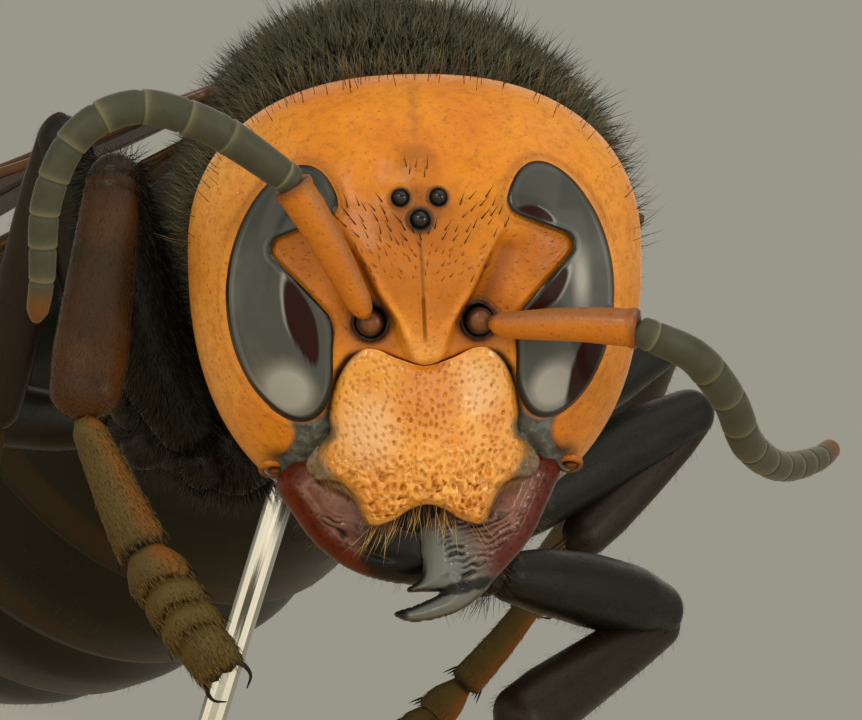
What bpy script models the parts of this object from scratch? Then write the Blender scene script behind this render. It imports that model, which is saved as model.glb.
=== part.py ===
"""Asian giant hornet: a dried worker on an insect pin that stands in a square wooden base.

Lengths are in millimetres here and become metres when a mesh is made. The origin is the middle of
the base's underside, below the pin. The insect faces -Y, and its own right side is towards -X.
"""

from math import atan2, cos, pi, radians, sin, sqrt

import bmesh
import bpy
from mathutils import Euler, Vector

MM = 0.001
GAP = 0.06              # clearance between neighbouring plates

# Base and pin
BASE_SIDE = 42.0
BASE_HEIGHT = 8.0
BASE_BEVEL = 0.8
PIN_RADIUS = 0.3
PIN_HOLE_RADIUS = 0.36
PIN_FOOT = 3.0
PIN_TOP = 41.0
PIN_KNOB_RADIUS = 0.7

# Thorax in the frame: its midline stands beside the pin, which enters it right of the middle
THORAX_X = 0.42
THORAX_Z = 26.5

# Head, in its own frame: X across, -Y forward, Z up
HEAD_PLACE = (-0.08, -8.0, 25.1)
HEAD_TURN = (0.0, radians(-18.0), radians(-8.0))
HEAD_HALF_WIDTH = 4.68
HEAD_MID_Z = 0.9
HEAD_RISE = 3.75        # vertex above the widest level
HEAD_DROP = 5.5         # mouth below the widest level
HEAD_SQUARENESS = 2.35
FACE_DEPTH = 2.9
NAPE_DEPTH = 2.2
EYE_BULGE = 0.12
EYE_HEART = (3.15, 1.2)
EYE_BACK = -0.5
CLYPEUS_BACK = -1.35
SOCKET = (1.11, -0.41)

# Thorax stations: distance behind the pin, half width, rise of the back, drop of the breast
THORAX_STATIONS = (
    (-5.2, 1.8, 1.3, 1.2),
    (-4.6, 3.7, 3.3, 3.1),
    (-3.5, 4.7, 4.65, 4.4),
    (-2.0, 5.15, 5.25, 5.05),
    (0.0, 5.15, 5.3, 5.2),
    (2.0, 4.8, 5.0, 4.9),
    (4.0, 4.1, 4.3, 4.2),
    (5.5, 3.1, 2.7, 3.2),
    (6.6, 2.0, 0.9, 1.9),
    (7.3, 0.9, 0.3, 0.9),
)
COLLAR_END = -2.9       # rear edge of the pronotum
BACK_END = 3.9          # front edge of the propodeum

# Gaster: a line bending down to the sting, and the girth along it
GASTER_LINE = ((0.8, 7.4, 26.0), (0.6, 10.5, 24.7), (0.1, 14.0, 22.1), (-0.9, 18.2, 18.4),
               (-1.5, 21.6, 15.4), (-1.9, 24.4, 13.0))
GASTER_CUTS = (0.0, 0.25, 0.46, 0.62, 0.76, 0.885, 1.0)
GASTER_HALF_WIDTH = 5.5
GASTER_HALF_HEIGHT = 4.9

# Wings: root, tip, direction of the leading edge, length of chord
WING_THICKNESS = 0.5
FOREWING_CHORD = 5.2
HINDWING_CHORD = 3.6

JOINT_STEP = 0.28       # how far past a joint the next leg piece begins

CUTICLE_DARK = (0.030, 0.019, 0.014)
CUTICLE_ORANGE = (0.62, 0.27, 0.05)
CUTICLE_OLIVE = (0.20, 0.15, 0.07)
CUTICLE_RED = (0.16, 0.045, 0.02)
EYE_BLACK = (0.018, 0.013, 0.012)
BAND_YELLOW = (0.60, 0.30, 0.06)
WING_AMBER = (0.34, 0.20, 0.07)
BASE_WOOD = (0.68, 0.52, 0.34)
PIN_STEEL = (0.62, 0.58, 0.50)


def clear_scene():
    for item in list(bpy.data.objects):
        bpy.data.objects.remove(item, do_unlink=True)


def finish(name, colour, roughness, metallic=0.0):
    """A Principled material with one colour."""
    material = bpy.data.materials.new(name)
    material.use_nodes = True
    shader = material.node_tree.nodes["Principled BSDF"]
    shader.inputs["Base Color"].default_value = (*colour, 1.0)
    shader.inputs["Roughness"].default_value = roughness
    shader.inputs["Metallic"].default_value = metallic
    return material


def add_object(name, bm, look, parent=None):
    """Turn a bmesh in millimetres into a named object in metres."""
    bmesh.ops.scale(bm, vec=(MM, MM, MM), verts=bm.verts)
    bmesh.ops.recalc_face_normals(bm, faces=bm.faces)
    mesh = bpy.data.meshes.new(name)
    bm.to_mesh(mesh)
    bm.free()
    mesh.shade_smooth()
    mesh.set_sharp_from_angle(angle=radians(40.0))
    item = bpy.data.objects.new(name, mesh)
    bpy.context.collection.objects.link(item)
    item.parent = parent
    if look is not None:
        mesh.materials.append(finish(name, *look))
    return item


def skin_rings(rings):
    """A closed body through rings of equal point count, first and last ring capped."""
    bm = bmesh.new()
    loops = [[bm.verts.new(point) for point in ring] for ring in rings]
    for near, far in zip(loops, loops[1:]):
        for i in range(len(near)):
            j = (i + 1) % len(near)
            bm.faces.new((near[i], near[j], far[j], far[i]))
    bm.faces.new(reversed(loops[0]))
    bm.faces.new(loops[-1])
    return bm


def carve(target, cutter):
    """Cut a hidden tool body out of a piece."""
    cutter.hide_render = True
    cutter.display_type = "WIRE"
    cut = target.modifiers.new("cut_" + cutter.name, "BOOLEAN")
    cut.operation = "DIFFERENCE"
    cut.solver = "EXACT"
    cut.object = cutter


def curve_through(points, steps):
    """Points of a smooth line through the given ones (Catmull-Rom)."""
    pts = [Vector(p) for p in points]
    pts = [2 * pts[0] - pts[1]] + pts + [2 * pts[-1] - pts[-2]]
    line = []
    for a, b, c, d in zip(pts, pts[1:], pts[2:], pts[3:]):
        for k in range(steps):
            t = k / steps
            line.append(0.5 * (2 * b + (c - a) * t + (2 * a - 5 * b + 4 * c - d) * t ** 2
                               + (3 * b - a - 3 * c + d) * t ** 3))
    line.append(pts[-2])
    return line


def spread(values, count):
    """Values spaced evenly along a short list, by straight interpolation."""
    out = []
    for i in range(count):
        place = i * (len(values) - 1) / (count - 1)
        low = min(int(place), len(values) - 2)
        out.append(values[low] + (values[low + 1] - values[low]) * (place - low))
    return out


def limb_rings(points, radii, sides=8, flatness=1.0, across=(0.0, 1.0, 0.2), extra=0.0):
    """Rings round a bent line with rounded ends; flatness squeezes the section along `across`."""
    pts = [Vector(p) for p in points]
    radii = spread(list(radii), len(pts))
    first = (pts[1] - pts[0]).normalized()
    last = (pts[-1] - pts[-2]).normalized()
    shoulder = pts[0] + first * radii[0] * 0.25
    heel = pts[-1] - last * radii[-1] * 0.25
    pts = [pts[0], shoulder] + pts[1:-1] + [heel, pts[-1]]
    radii = [radii[0] * 0.55, radii[0]] + radii[1:-1] + [radii[-1], radii[-1] * 0.55]
    rings = []
    for i, point in enumerate(pts):
        ahead = (pts[min(i + 1, len(pts) - 1)] - pts[max(i - 1, 0)]).normalized()
        thin = Vector(across) - ahead * ahead.dot(Vector(across))
        thin.normalize()
        wide = ahead.cross(thin)
        wide = wide * (radii[i] + extra)
        thin = thin * (radii[i] * flatness + extra)
        turns = [2 * pi * k / sides for k in range(sides)]
        rings.append([point + wide * cos(turn) + thin * sin(turn) for turn in turns])
    return rings


def limb(name, points, radii, look, parent=None, **shape):
    return add_object(name, skin_rings(limb_rings(points, radii, **shape)), look, parent)


def head_outline(turn):
    """Point on the head's outline seen from the front, at an angle about its middle."""
    c = cos(turn)
    s = sin(turn)
    reach = HEAD_RISE if s > 0 else HEAD_DROP
    n = HEAD_SQUARENESS
    size = (abs(c / HEAD_HALF_WIDTH) ** n + abs(s / reach) ** n) ** (-1.0 / n)
    return size * c, size * s + HEAD_MID_Z


def head_reach(x, z):
    """0 on the head's axis, 1 on its outline."""
    z = z - HEAD_MID_Z
    reach = HEAD_RISE if z > 0 else HEAD_DROP
    n = HEAD_SQUARENESS
    return (abs(x / HEAD_HALF_WIDTH) ** n + abs(z / reach) ** n) ** (1.0 / n)


def face_y(x, z):
    """Front surface of the head."""
    return -FACE_DEPTH * max(0.0, 1.0 - head_reach(x, z) ** 2.2) ** 0.55


def clypeus_y(x, z):
    """Front surface of the clypeus, which stands forward of the face low down."""
    return min(face_y(x, z) - 0.1, -2.85 + 0.2 * x * x + 0.035 * (z + 1.9) ** 2)


def head_dome(extra=0.0, sides=32):
    """The head capsule without its openings."""
    rings = []
    front = (0.25, 0.5, 0.7, 0.84, 0.93, 0.98)
    for share in front:
        y = -FACE_DEPTH * (1.0 - share ** 2.2) ** 0.55 - extra
        rings.append((share, y))
    rings.append((1.0, 0.0))
    for share in (0.94, 0.82, 0.62, 0.4):
        rings.append((share, NAPE_DEPTH * (1.0 - share ** 3) ** 0.5 + extra))
    loops = []
    for share, y in rings:
        loop = []
        for k in range(sides):
            x, z = head_outline(2 * pi * k / sides)
            grow = share * (1.0 + extra / 4.5)
            loop.append((x * grow, y, HEAD_MID_Z + (z - HEAD_MID_Z) * grow))
        loops.append(loop)
    return skin_rings(loops)


def eye_holds(x, z):
    """True inside the eye's outline: an egg with a rounded notch in its inner edge."""
    rise = z - 0.2
    if abs(rise) >= 2.62:
        return False
    middle = 2.76 - 0.02 * rise - 0.047 * rise * rise
    if abs(x - middle) > 1.22 * sqrt(1.0 - (rise / 2.62) ** 2):
        return False
    away_x = x - 2.8
    away_z = z - 1.1
    turn = atan2(away_z, away_x) % (2 * pi)
    return not (radians(167.7) < turn < radians(225.0)) and away_x ** 2 + away_z ** 2 > 0.26 ** 2


def eye_outline(side, extra=0.0, count=28):
    """The eye's outline, found along rays from its heart."""
    loop = []
    for k in range(count):
        turn = 2 * pi * k / count
        near = 0.0
        far = 5.0
        while far - near > 0.002:
            middle = 0.5 * (near + far)
            inside = eye_holds(EYE_HEART[0] + middle * cos(turn), EYE_HEART[1] + middle * sin(turn))
            near = middle if inside else near
            far = far if inside else middle
        reach = near + extra
        loop.append((side * (EYE_HEART[0] + reach * cos(turn)), EYE_HEART[1] + reach * sin(turn)))
    return loop


def plate_rings(outline, heart, front, back, shares=(0.45, 0.8, 0.97)):
    """Rings of a plate: crowned front that follows a surface, flat back."""
    rings = []
    for share in shares:
        ring = []
        for x, z in outline:
            px = heart[0] + (x - heart[0]) * share
            pz = heart[1] + (z - heart[1]) * share
            ring.append((px, front(px, pz) + 0.1 * max(0.0, share - 0.8), pz))
        rings.append(ring)
    rings.append([(x, front(x, z) + 0.1, z) for x, z in outline])
    rings.append([(x, back, z) for x, z in outline])
    return rings


def prism_rings(outline, front, back):
    return [[(x, front, z) for x, z in outline], [(x, back, z) for x, z in outline]]


def clypeus_outline(extra=0.0):
    """Face shield above the mouth: domed top, waisted sides, two blunt lobes with a notch between."""
    right = ((0.0, -1.3), (0.7, -1.12), (1.38, -1.05), (1.72, -1.6), (1.9, -2.3), (2.05, -2.75),
             (2.27, -3.1), (1.9, -3.5), (1.6, -3.72), (1.38, -4.15), (1.15, -4.53), (0.6, -4.33),
             (0.0, -4.07))
    loop = list(right) + [(-x, z) for x, z in reversed(right[1:-1])]
    return [(x * (1 + extra / 1.9), -2.6 + (z + 2.6) * (1 + extra / 1.6)) for x, z in loop]


def band_loop(y, half, rise, drop, sides=24, extra=0.0):
    """One cross-section of the thorax."""
    loop = []
    for k in range(sides):
        c = cos(2 * pi * k / sides)
        s = sin(2 * pi * k / sides)
        size = (abs(c) ** 2.3 + abs(s) ** 2.3) ** (-1 / 2.3)
        high = rise if s > 0 else drop
        loop.append((THORAX_X + (half + extra) * c * size, y, THORAX_Z + (high + extra) * s * size))
    return loop


def thorax_rings(start, end, extra=0.0):
    """The thorax between two planes, read off the station list."""
    def section(y):
        low = max(i for i in range(len(THORAX_STATIONS) - 1) if THORAX_STATIONS[i][0] <= y + 1e-6)
        a = THORAX_STATIONS[low]
        b = THORAX_STATIONS[low + 1]
        t = min(1.0, (y - a[0]) / (b[0] - a[0]))
        return [a[i] + (b[i] - a[i]) * t for i in range(1, 4)]
    places = [start] + [s[0] for s in THORAX_STATIONS if start + 0.2 < s[0] < end - 0.2] + [end]
    return [band_loop(y, *section(y), extra=extra) for y in places]


def build_stand():
    bm = bmesh.new()
    bmesh.ops.create_cube(bm, size=1.0)
    bmesh.ops.scale(bm, vec=(BASE_SIDE, BASE_SIDE, BASE_HEIGHT), verts=bm.verts)
    bmesh.ops.translate(bm, vec=(0, 0, BASE_HEIGHT / 2), verts=bm.verts)
    base = add_object("stand_base", bm, (BASE_WOOD, 0.6))
    bevel = base.modifiers.new("edge", "BEVEL")
    bevel.width = BASE_BEVEL * MM
    bevel.segments = 2
    hole = limb("cutter_base_hole", ((0, 0, PIN_FOOT - 0.06), (0, 0, BASE_HEIGHT + 1)),
                (PIN_HOLE_RADIUS, PIN_HOLE_RADIUS), None, sides=16)
    carve(base, hole)
    # Pin: blunt foot, straight shank, small round head
    profile = ((PIN_FOOT, 0.12), (PIN_FOOT + 0.6, PIN_RADIUS), (PIN_TOP - 1.2, PIN_RADIUS),
               (PIN_TOP - 1.05, PIN_KNOB_RADIUS * 0.75), (PIN_TOP - 0.6, PIN_KNOB_RADIUS),
               (PIN_TOP - 0.2, PIN_KNOB_RADIUS * 0.75), (PIN_TOP, 0.2))
    rings = [[(r * cos(2 * pi * k / 12), r * sin(2 * pi * k / 12), z) for k in range(12)]
             for z, r in profile]
    add_object("stand_pin", skin_rings(rings), (PIN_STEEL, 0.3, 1.0))


def build_head():
    """Head capsule with its eyes, face shield, jaws and feelers, all under one empty."""
    frame = bpy.data.objects.new("head_frame", None)
    bpy.context.collection.objects.link(frame)
    frame.location = Vector(HEAD_PLACE) * MM
    frame.rotation_euler = Euler(HEAD_TURN)
    head = add_object("head", head_dome(), (CUTICLE_ORANGE, 0.45), frame)

    def bulged(x, z):
        return face_y(x, z) - EYE_BULGE

    for side, tag in ((-1, "r"), (1, "l")):
        heart = (side * EYE_HEART[0], EYE_HEART[1])
        rings = plate_rings(eye_outline(side), heart, bulged, EYE_BACK)
        add_object("eye_" + tag, skin_rings(rings), (EYE_BLACK, 0.15), frame)
        pocket = prism_rings(eye_outline(side, GAP), -6.0, EYE_BACK + GAP)
        carve(head, add_object("cutter_eye_" + tag, skin_rings(pocket), None, frame))

    shield = plate_rings(clypeus_outline(), (0.0, -2.5), clypeus_y, CLYPEUS_BACK)
    clypeus = add_object("clypeus", skin_rings(shield), (CUTICLE_ORANGE, 0.5), frame)
    pocket = prism_rings(clypeus_outline(GAP), -6.0, CLYPEUS_BACK + GAP)
    carve(head, add_object("cutter_clypeus", skin_rings(pocket), None, frame))

    # Jaws: hinge beside the mouth, crossing below it, the left one in front
    jaws = {
        "r": (((-2.75, -0.75, -3.45), (-2.3, -0.72, -4.2), (-1.6, -0.72, -4.85), (-0.85, -0.74, -5.28),
               (-0.15, -0.76, -5.6)), (0.98, 0.86, 0.72, 0.55, 0.26)),
        "l": (((2.15, -0.75, -3.45), (1.95, -0.85, -4.25), (1.45, -1.3, -4.95), (0.75, -1.7, -5.5),
               (-0.5, -1.8, -6.12)), (0.98, 0.88, 0.78, 0.62, 0.28)),
    }
    for tag, (points, radii) in jaws.items():
        shape = dict(sides=12, flatness=0.56, across=(0.0, 1.0, 0.0))
        line = curve_through(points, 2)
        limb("mandible_" + tag, line, radii, (CUTICLE_RED, 0.35), frame, **shape)
        tool = limb("cutter_mandible_" + tag, line, radii, None, frame, extra=GAP, **shape)
        carve(head, tool)
        carve(clypeus, tool)

    # Feelers: elbowed scape, then a whip in two lengths
    scapes = {
        "r": ((-SOCKET[0], -2.72, SOCKET[1]), (-1.75, -3.25, 0.75), (-2.72, -3.85, 2.42)),
        "l": ((SOCKET[0], -2.72, SOCKET[1]), (2.6, -3.35, -0.5), (4.25, -3.85, -0.6)),
    }
    whips = {
        "r": ((-2.82, -3.95, 2.56), (-4.32, -4.6, 3.57), (-5.8, -4.9, 4.01), (-7.0, -5.0, 3.47),
              (-7.64, -4.8, 2.17), (-7.76, -4.4, 0.63), (-7.89, -4.1, -0.25)),
        "l": ((4.4, -3.9, -0.7), (5.42, -3.5, -1.22), (6.19, -2.5, -2.11), (6.68, -1.4, -3.05),
              (7.49, 0.2, -3.57), (8.43, 1.9, -3.52), (8.96, 2.9, -3.27)),
    }
    for tag in ("r", "l"):
        scape = limb("scape_" + tag, curve_through(scapes[tag], 2), (0.27, 0.33, 0.38, 0.4),
                     (CUTICLE_ORANGE, 0.4), frame)
        dome = add_object("cutter_face_" + tag, head_dome(GAP), None, frame)
        carve(scape, dome)
        line = curve_through(whips[tag], 2)
        half = len(line) // 2
        step = (line[half] - line[half - 1]).normalized() * GAP
        base = limb("flagellum_base_" + tag, line[:half] + [line[half] - step], (0.34, 0.37, 0.36, 0.34),
                    (CUTICLE_OLIVE, 0.5), frame)
        carve(base, limb("cutter_scape_" + tag, curve_through(scapes[tag], 2), (0.27, 0.33, 0.38, 0.4),
                         None, frame, extra=GAP))
        limb("flagellum_tip_" + tag, line[half:], (0.34, 0.32, 0.29, 0.25), (CUTICLE_OLIVE, 0.5), frame)

    # Neck: bridges the hollow between nape and collar
    neck = limb("neck", ((0.1, -6.6, 25.4), (0.5, -5.5, 25.9), (0.75, -4.4, 26.3)), (1.0, 1.0),
                (CUTICLE_DARK, 0.5), across=(0.0, 0.2, 1.0))
    carve(neck, add_object("cutter_nape", head_dome(GAP), None, frame))


def build_thorax():
    """Collar, middle block and rear block of the thorax; the pin runs through the middle block."""
    look = (CUTICLE_DARK, 0.5)
    collar = add_object("pronotum", skin_rings(thorax_rings(-5.2, COLLAR_END - GAP)), look)
    carve(collar, limb("cutter_neck", ((0.1, -6.6, 25.4), (0.5, -5.5, 25.9), (0.75, -4.34, 26.3)),
                       (1.0, 1.0), None, across=(0.0, 0.2, 1.0), extra=GAP))
    middle = add_object("mesothorax", skin_rings(thorax_rings(COLLAR_END, BACK_END - GAP)), look)
    carve(middle, limb("cutter_pin_hole", ((0, 0, THORAX_Z - 8), (0, 0, THORAX_Z + 8)),
                       (PIN_HOLE_RADIUS, PIN_HOLE_RADIUS), None, sides=16))
    add_object("propodeum", skin_rings(thorax_rings(BACK_END, 7.3)), look)


def build_gaster():
    """Six overlapping rings of the abdomen along a bending line."""
    steps = 8
    line = curve_through(GASTER_LINE, steps)
    lengths = [0.0]
    for a, b in zip(line, line[1:]):
        lengths.append(lengths[-1] + (b - a).length)
    total = lengths[-1]

    def at(share):
        want = share * total
        i = max(k for k in range(len(lengths) - 1) if lengths[k] <= want + 1e-9)
        t = (want - lengths[i]) / (lengths[i + 1] - lengths[i])
        return line[i].lerp(line[i + 1], t), (line[i + 1] - line[i]).normalized()

    def girth(share):
        swell = (share / 0.32) ** 0.5 if share < 0.32 else 1.0
        close = 1.0 - max(0.0, (share - 0.34) / 0.68) ** 2.6
        return max(0.13, min(1.0, swell)) * max(0.12, close)

    for number, (start, end) in enumerate(zip(GASTER_CUTS, GASTER_CUTS[1:]), 1):
        rings = []
        slack = GAP / total
        for k in range(5):
            share = start + slack + (end - start - slack) * k / 4
            point, ahead = at(share)
            right = Vector((1.0, 0.0, 0.0)) - ahead * ahead.x
            right.normalize()
            up = right.cross(ahead)
            lap = 0.94 + 0.07 * min(1.0, k / 2)
            wide = GASTER_HALF_WIDTH * girth(share) * lap
            high = GASTER_HALF_HEIGHT * girth(share) * lap
            rings.append([point + right * wide * cos(2 * pi * j / 20) + up * high * sin(2 * pi * j / 20)
                          for j in range(20)])
        look = (BAND_YELLOW if number == 6 else CUTICLE_DARK, 0.45)
        add_object("gaster_%d" % number, skin_rings(rings), look)


def wing_rings(root, tip, lead, chord, sag):
    """A thin blade: flat rings from root to tip, widest past the middle, sagging a little."""
    root = Vector(root)
    tip = Vector(tip)
    ahead = (tip - root).normalized()
    lead = Vector(lead) - ahead * ahead.dot(Vector(lead))
    lead.normalize()
    normal = ahead.cross(lead)
    rings = []
    stations = 10
    for k in range(stations + 1):
        t = k / stations
        widening = 0.16 + 0.84 * min(1.0, t / 0.6) ** 0.8
        width = chord * widening * (1.0 - max(0.0, (t - 0.72) / 0.29) ** 2.4)
        middle = root.lerp(tip, t) + normal * sag * sin(pi * t) - lead * 0.12 * width
        ring = []
        for across, up in ((-0.5, -0.5), (0.0, -0.5), (0.5, -0.5), (0.5, 0.5), (0.0, 0.5), (-0.5, 0.5)):
            bow = 0.18 * (1 - (2 * across) ** 2)
            ring.append(middle + lead * across * width + normal * (up * WING_THICKNESS + bow))
        rings.append(ring)
    return rings


def build_wings():
    looks = (WING_AMBER, 0.3)
    wings = {
        "forewing_r": ((-3.7, -0.9, 28.3), (-13.6, 22.0, 16.0), (-0.9, -0.2, -0.45), FOREWING_CHORD, 0.6),
        "hindwing_r": ((-3.6, 1.4, 27.2), (-9.6, 17.6, 16.9), (-0.9, -0.2, -0.5), HINDWING_CHORD, 0.3),
        "forewing_l": ((5.3, -0.9, 28.3), (7.8, 25.6, 26.6), (0.95, -0.2, -0.25), FOREWING_CHORD, -0.6),
        "hindwing_l": ((5.2, 1.4, 27.0), (8.9, 19.0, 24.2), (0.95, -0.2, -0.3), HINDWING_CHORD, -0.3),
    }
    for name, shape in wings.items():
        wing = add_object(name, skin_rings(wing_rings(*shape)), looks)
        body = add_object("cutter_body_" + name, skin_rings(thorax_rings(-5.2, 7.3, GAP)), None)
        carve(wing, body)


def build_legs():
    """Six legs, each of hip, thigh, shin and foot; every piece is cut to nest round the one before."""
    legs = {
        "fore_r": ((-0.9, -3.2, 22.6), (-2.5, -4.4, 20.3), (-6.52, -5.6, 26.06), (-6.06, -8.2, 20.8),
                   (-4.1, -9.0, 18.5), (-2.01, -9.6, 16.69)),
        "fore_l": ((2.5, -3.2, 22.6), (3.6, -4.2, 20.0), (8.9, -0.6, 20.2), (5.3, -4.2, 16.95),
                   (5.7, -3.2, 15.0), (5.1, -0.9, 12.4)),
        "mid_r": ((-1.6, 0.7, 22.3), (-2.9, 0.8, 20.2), (-7.1, -0.6, 26.6), (-6.2, 1.6, 19.8),
                  (-6.6, 4.4, 17.2), (-6.4, 8.4, 14.6)),
        "mid_l": ((3.2, 0.7, 22.3), (4.3, 1.0, 20.1), (9.5, 4.2, 24.8), (7.0, 2.2, 20.9),
                  (6.1, 3.0, 18.0), (4.6, 5.4, 14.2)),
        "hind_r": ((-1.3, 4.1, 22.9), (-2.4, 5.6, 20.6), (-7.3, 11.2, 19.8), (-7.0, 18.2, 14.2),
                   (-6.4, 20.6, 12.2), (-4.0, 23.6, 9.7)),
        "hind_l": ((2.9, 4.1, 22.9), (4.1, 5.6, 20.6), (9.2, 8.0, 26.0), (10.3, 16.8, 21.4),
                   (10.7, 19.6, 20.2), (11.8, 24.4, 18.8)),
    }
    sizes = {
        "fore": ((1.05, 0.8), (0.55, 0.8, 0.82, 0.5), (0.52, 0.7, 0.8, 0.7), (0.44, 0.48, 0.46, 0.38)),
        "mid": ((1.05, 0.75), (0.5, 0.76, 0.78, 0.5), (0.42, 0.6, 0.58), (0.38, 0.36, 0.3)),
        "hind": ((1.0, 0.75), (0.5, 0.76, 0.76, 0.48), (0.4, 0.62, 0.6), (0.38, 0.36, 0.3)),
    }
    for tag, (hip, trochanter, knee, ankle, instep, claw) in legs.items():
        radii = sizes[tag.split("_")[0]]
        body = add_object("cutter_body_" + tag, skin_rings(thorax_rings(-5.2, 7.3, GAP)), None)
        chain = (
            ("coxa_", (hip, trochanter), radii[0]),
            ("femur_", (trochanter, knee), radii[1]),
            ("tibia_", (knee, ankle), radii[2]),
            ("tarsus_", (ankle, instep, claw), radii[3]),
        )
        before = body
        for part, points, girths in chain:
            start = Vector(points[0])
            if part != "coxa_":
                start = start + (Vector(points[1]) - start).normalized() * JOINT_STEP
            points = (start,) + points[1:]
            if part == "tarsus_":
                line = curve_through(points, 3)
            else:
                line = [start.lerp(Vector(points[1]), k / 3) for k in range(4)]
            look = (CUTICLE_RED if tag == "fore_r" and part == "tibia_" else CUTICLE_DARK, 0.45)
            if part == "tarsus_":
                look = (CUTICLE_OLIVE, 0.5)
            piece = limb(part + tag, line, girths, look, across=(0.3, 0.9, 0.2))
            carve(piece, before)
            if part == "femur_":
                carve(piece, body)
            if part != "tarsus_":
                before = limb("cutter_" + part + tag, line, girths, None, across=(0.3, 0.9, 0.2), extra=GAP)


clear_scene()
build_stand()
build_head()
build_thorax()
build_gaster()
build_wings()
build_legs()
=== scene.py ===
"""Looks of a pinned Asian giant hornet: cuticle, eyes, coat, wings, pin and wooden base.

Sizes here are in millimetres and become metres when a mesh is made. The insect faces -Y, its own
right side is towards -X, and the origin is under the pin at the middle of the base's underside.
"""

from math import cos, pi, radians, sin

import bpy
import numpy as np
from mathutils import Euler, Matrix, Vector


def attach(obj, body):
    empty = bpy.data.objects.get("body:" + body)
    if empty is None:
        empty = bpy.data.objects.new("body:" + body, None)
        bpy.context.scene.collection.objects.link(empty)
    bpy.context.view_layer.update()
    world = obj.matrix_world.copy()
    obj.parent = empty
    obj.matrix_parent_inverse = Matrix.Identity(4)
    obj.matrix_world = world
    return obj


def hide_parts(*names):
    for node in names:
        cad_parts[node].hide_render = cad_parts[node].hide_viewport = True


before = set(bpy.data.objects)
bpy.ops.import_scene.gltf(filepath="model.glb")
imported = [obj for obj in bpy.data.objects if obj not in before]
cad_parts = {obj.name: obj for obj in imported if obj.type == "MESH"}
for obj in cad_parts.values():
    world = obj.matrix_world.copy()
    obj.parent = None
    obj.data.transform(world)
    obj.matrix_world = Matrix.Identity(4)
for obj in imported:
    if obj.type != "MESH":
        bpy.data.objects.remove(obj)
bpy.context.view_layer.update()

MM = 0.001
PER_MM = 1.0 / MM
PER_MM2 = PER_MM ** 2

# Camera: level, 12 degrees towards the insect's right, leaned over so that the pin slants
VIEW_AZIMUTH = radians(-12.0)
VIEW_ROLL = radians(17.0)
VIEW_TARGET = (0.256, -9.597, 24.008)
VIEW_DISTANCE = 160.0
VIEW_WIDTH = 17.59

# Head in its own frame: X across, -Y forward, Z up
HEAD_PLACE = np.array([-0.08, -8.0, 25.1])
HEAD_TURN = Euler((0.0, radians(-18.0), radians(-8.0)))
HEAD_HALF_WIDTH = 4.68
HEAD_MID_Z = 0.9
HEAD_RISE = 3.75
HEAD_DROP = 5.5
HEAD_SQUARENESS = 2.35
FACE_DEPTH = 2.9
NAPE_DEPTH = 2.2
EYE_HEART = (3.45, 1.28)
EYE_MID_Z = 0.2
EYE_HALF_WIDTH = 1.22
EYE_HALF_HEIGHT = 2.62
EYE_EDGE_BLEND = 0.36
NOTCH_HEART = (2.80, 1.10)
NOTCH_RADIUS = 0.28
NOTCH_BISECTOR = 193.0
NOTCH_HALF_ANGLE = 33.5
SOCKET = (1.11, -0.41)
SHIELD_EDGE = ((-1.3, 0.02), (-1.18, 0.2), (-1.0, 0.34), (-0.39, 0.56), (0.19, 0.93), (0.8, 1.2),
               (1.44, 1.58), (2.2, 1.9))

# Face shield: distance between pits on its upper and on its lower part
PIT_SPACING = 0.155
LOW_PIT_SPACING = 0.2
SHIELD_HEART = (0.0, -2.55)

# Jaw: size of its mesh's cells, and how far apart its bristle pits and the pits on its upper part are
JAW_CELL = 0.036
BRISTLE_PIT_SPACING = 0.2
JAW_PIT_SPACING = 0.15

# Thorax: distance behind the pin, half width, rise of the back, drop of the breast
THORAX_X = 0.42
THORAX_Z = 26.5
THORAX_STATIONS = np.array([
    (-5.2, 1.8, 1.3, 1.2), (-4.6, 3.7, 3.3, 3.1), (-3.5, 4.7, 4.65, 4.4), (-2.0, 5.15, 5.25, 5.05),
    (0.0, 5.15, 5.3, 5.2), (2.0, 4.8, 5.0, 4.9), (4.0, 4.1, 4.3, 4.2), (5.5, 3.1, 2.7, 3.2),
    (6.6, 2.0, 0.9, 1.9), (7.3, 0.9, 0.3, 0.9),
])
COAT_DEPTH = 0.85

# Wings: half the thickness of the film
FILM_HALF = 0.02

GASTER_LINE = ((0.8, 7.4, 26.0), (0.6, 10.5, 24.7), (0.1, 14.0, 22.1), (-0.9, 18.2, 18.4),
               (-1.5, 21.6, 15.4), (-1.9, 24.4, 13.0))
GASTER_CUTS = (0.0, 0.25, 0.46, 0.62, 0.76, 0.885, 1.0)
GASTER_HALF_WIDTH = 5.5
GASTER_HALF_HEIGHT = 4.9


def smooth(low, high, value):
    """0 below one edge, 1 above the other, eased between."""
    t = np.clip((value - low) / (high - low), 0.0, 1.0)
    return t * t * (3.0 - 2.0 * t)


def bump_at(distance, width):
    """A soft hump: 1 at distance 0, gone a little past the width."""
    return np.exp(-(distance / width) ** 2)


def hashed(cells, seed):
    """Three repeatable random numbers from 0 to 1 for each whole-number cell."""
    cells = cells.astype(np.int64).astype(np.uint64)
    mix = cells[..., 0] * np.uint64(73856093) ^ cells[..., 1] * np.uint64(19349663)
    mix = mix ^ cells[..., 2] * np.uint64(83492791) ^ np.uint64(seed * 2654435761)
    out = []
    for _ in range(3):
        mix = (mix ^ (mix >> np.uint64(29))) * np.uint64(0xBF58476D1CE4E5B9)
        mix = mix ^ (mix >> np.uint64(32))
        out.append((mix & np.uint64(0xFFFFFF)).astype(float) / 0xFFFFFF)
    return np.stack(out, -1)


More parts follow.
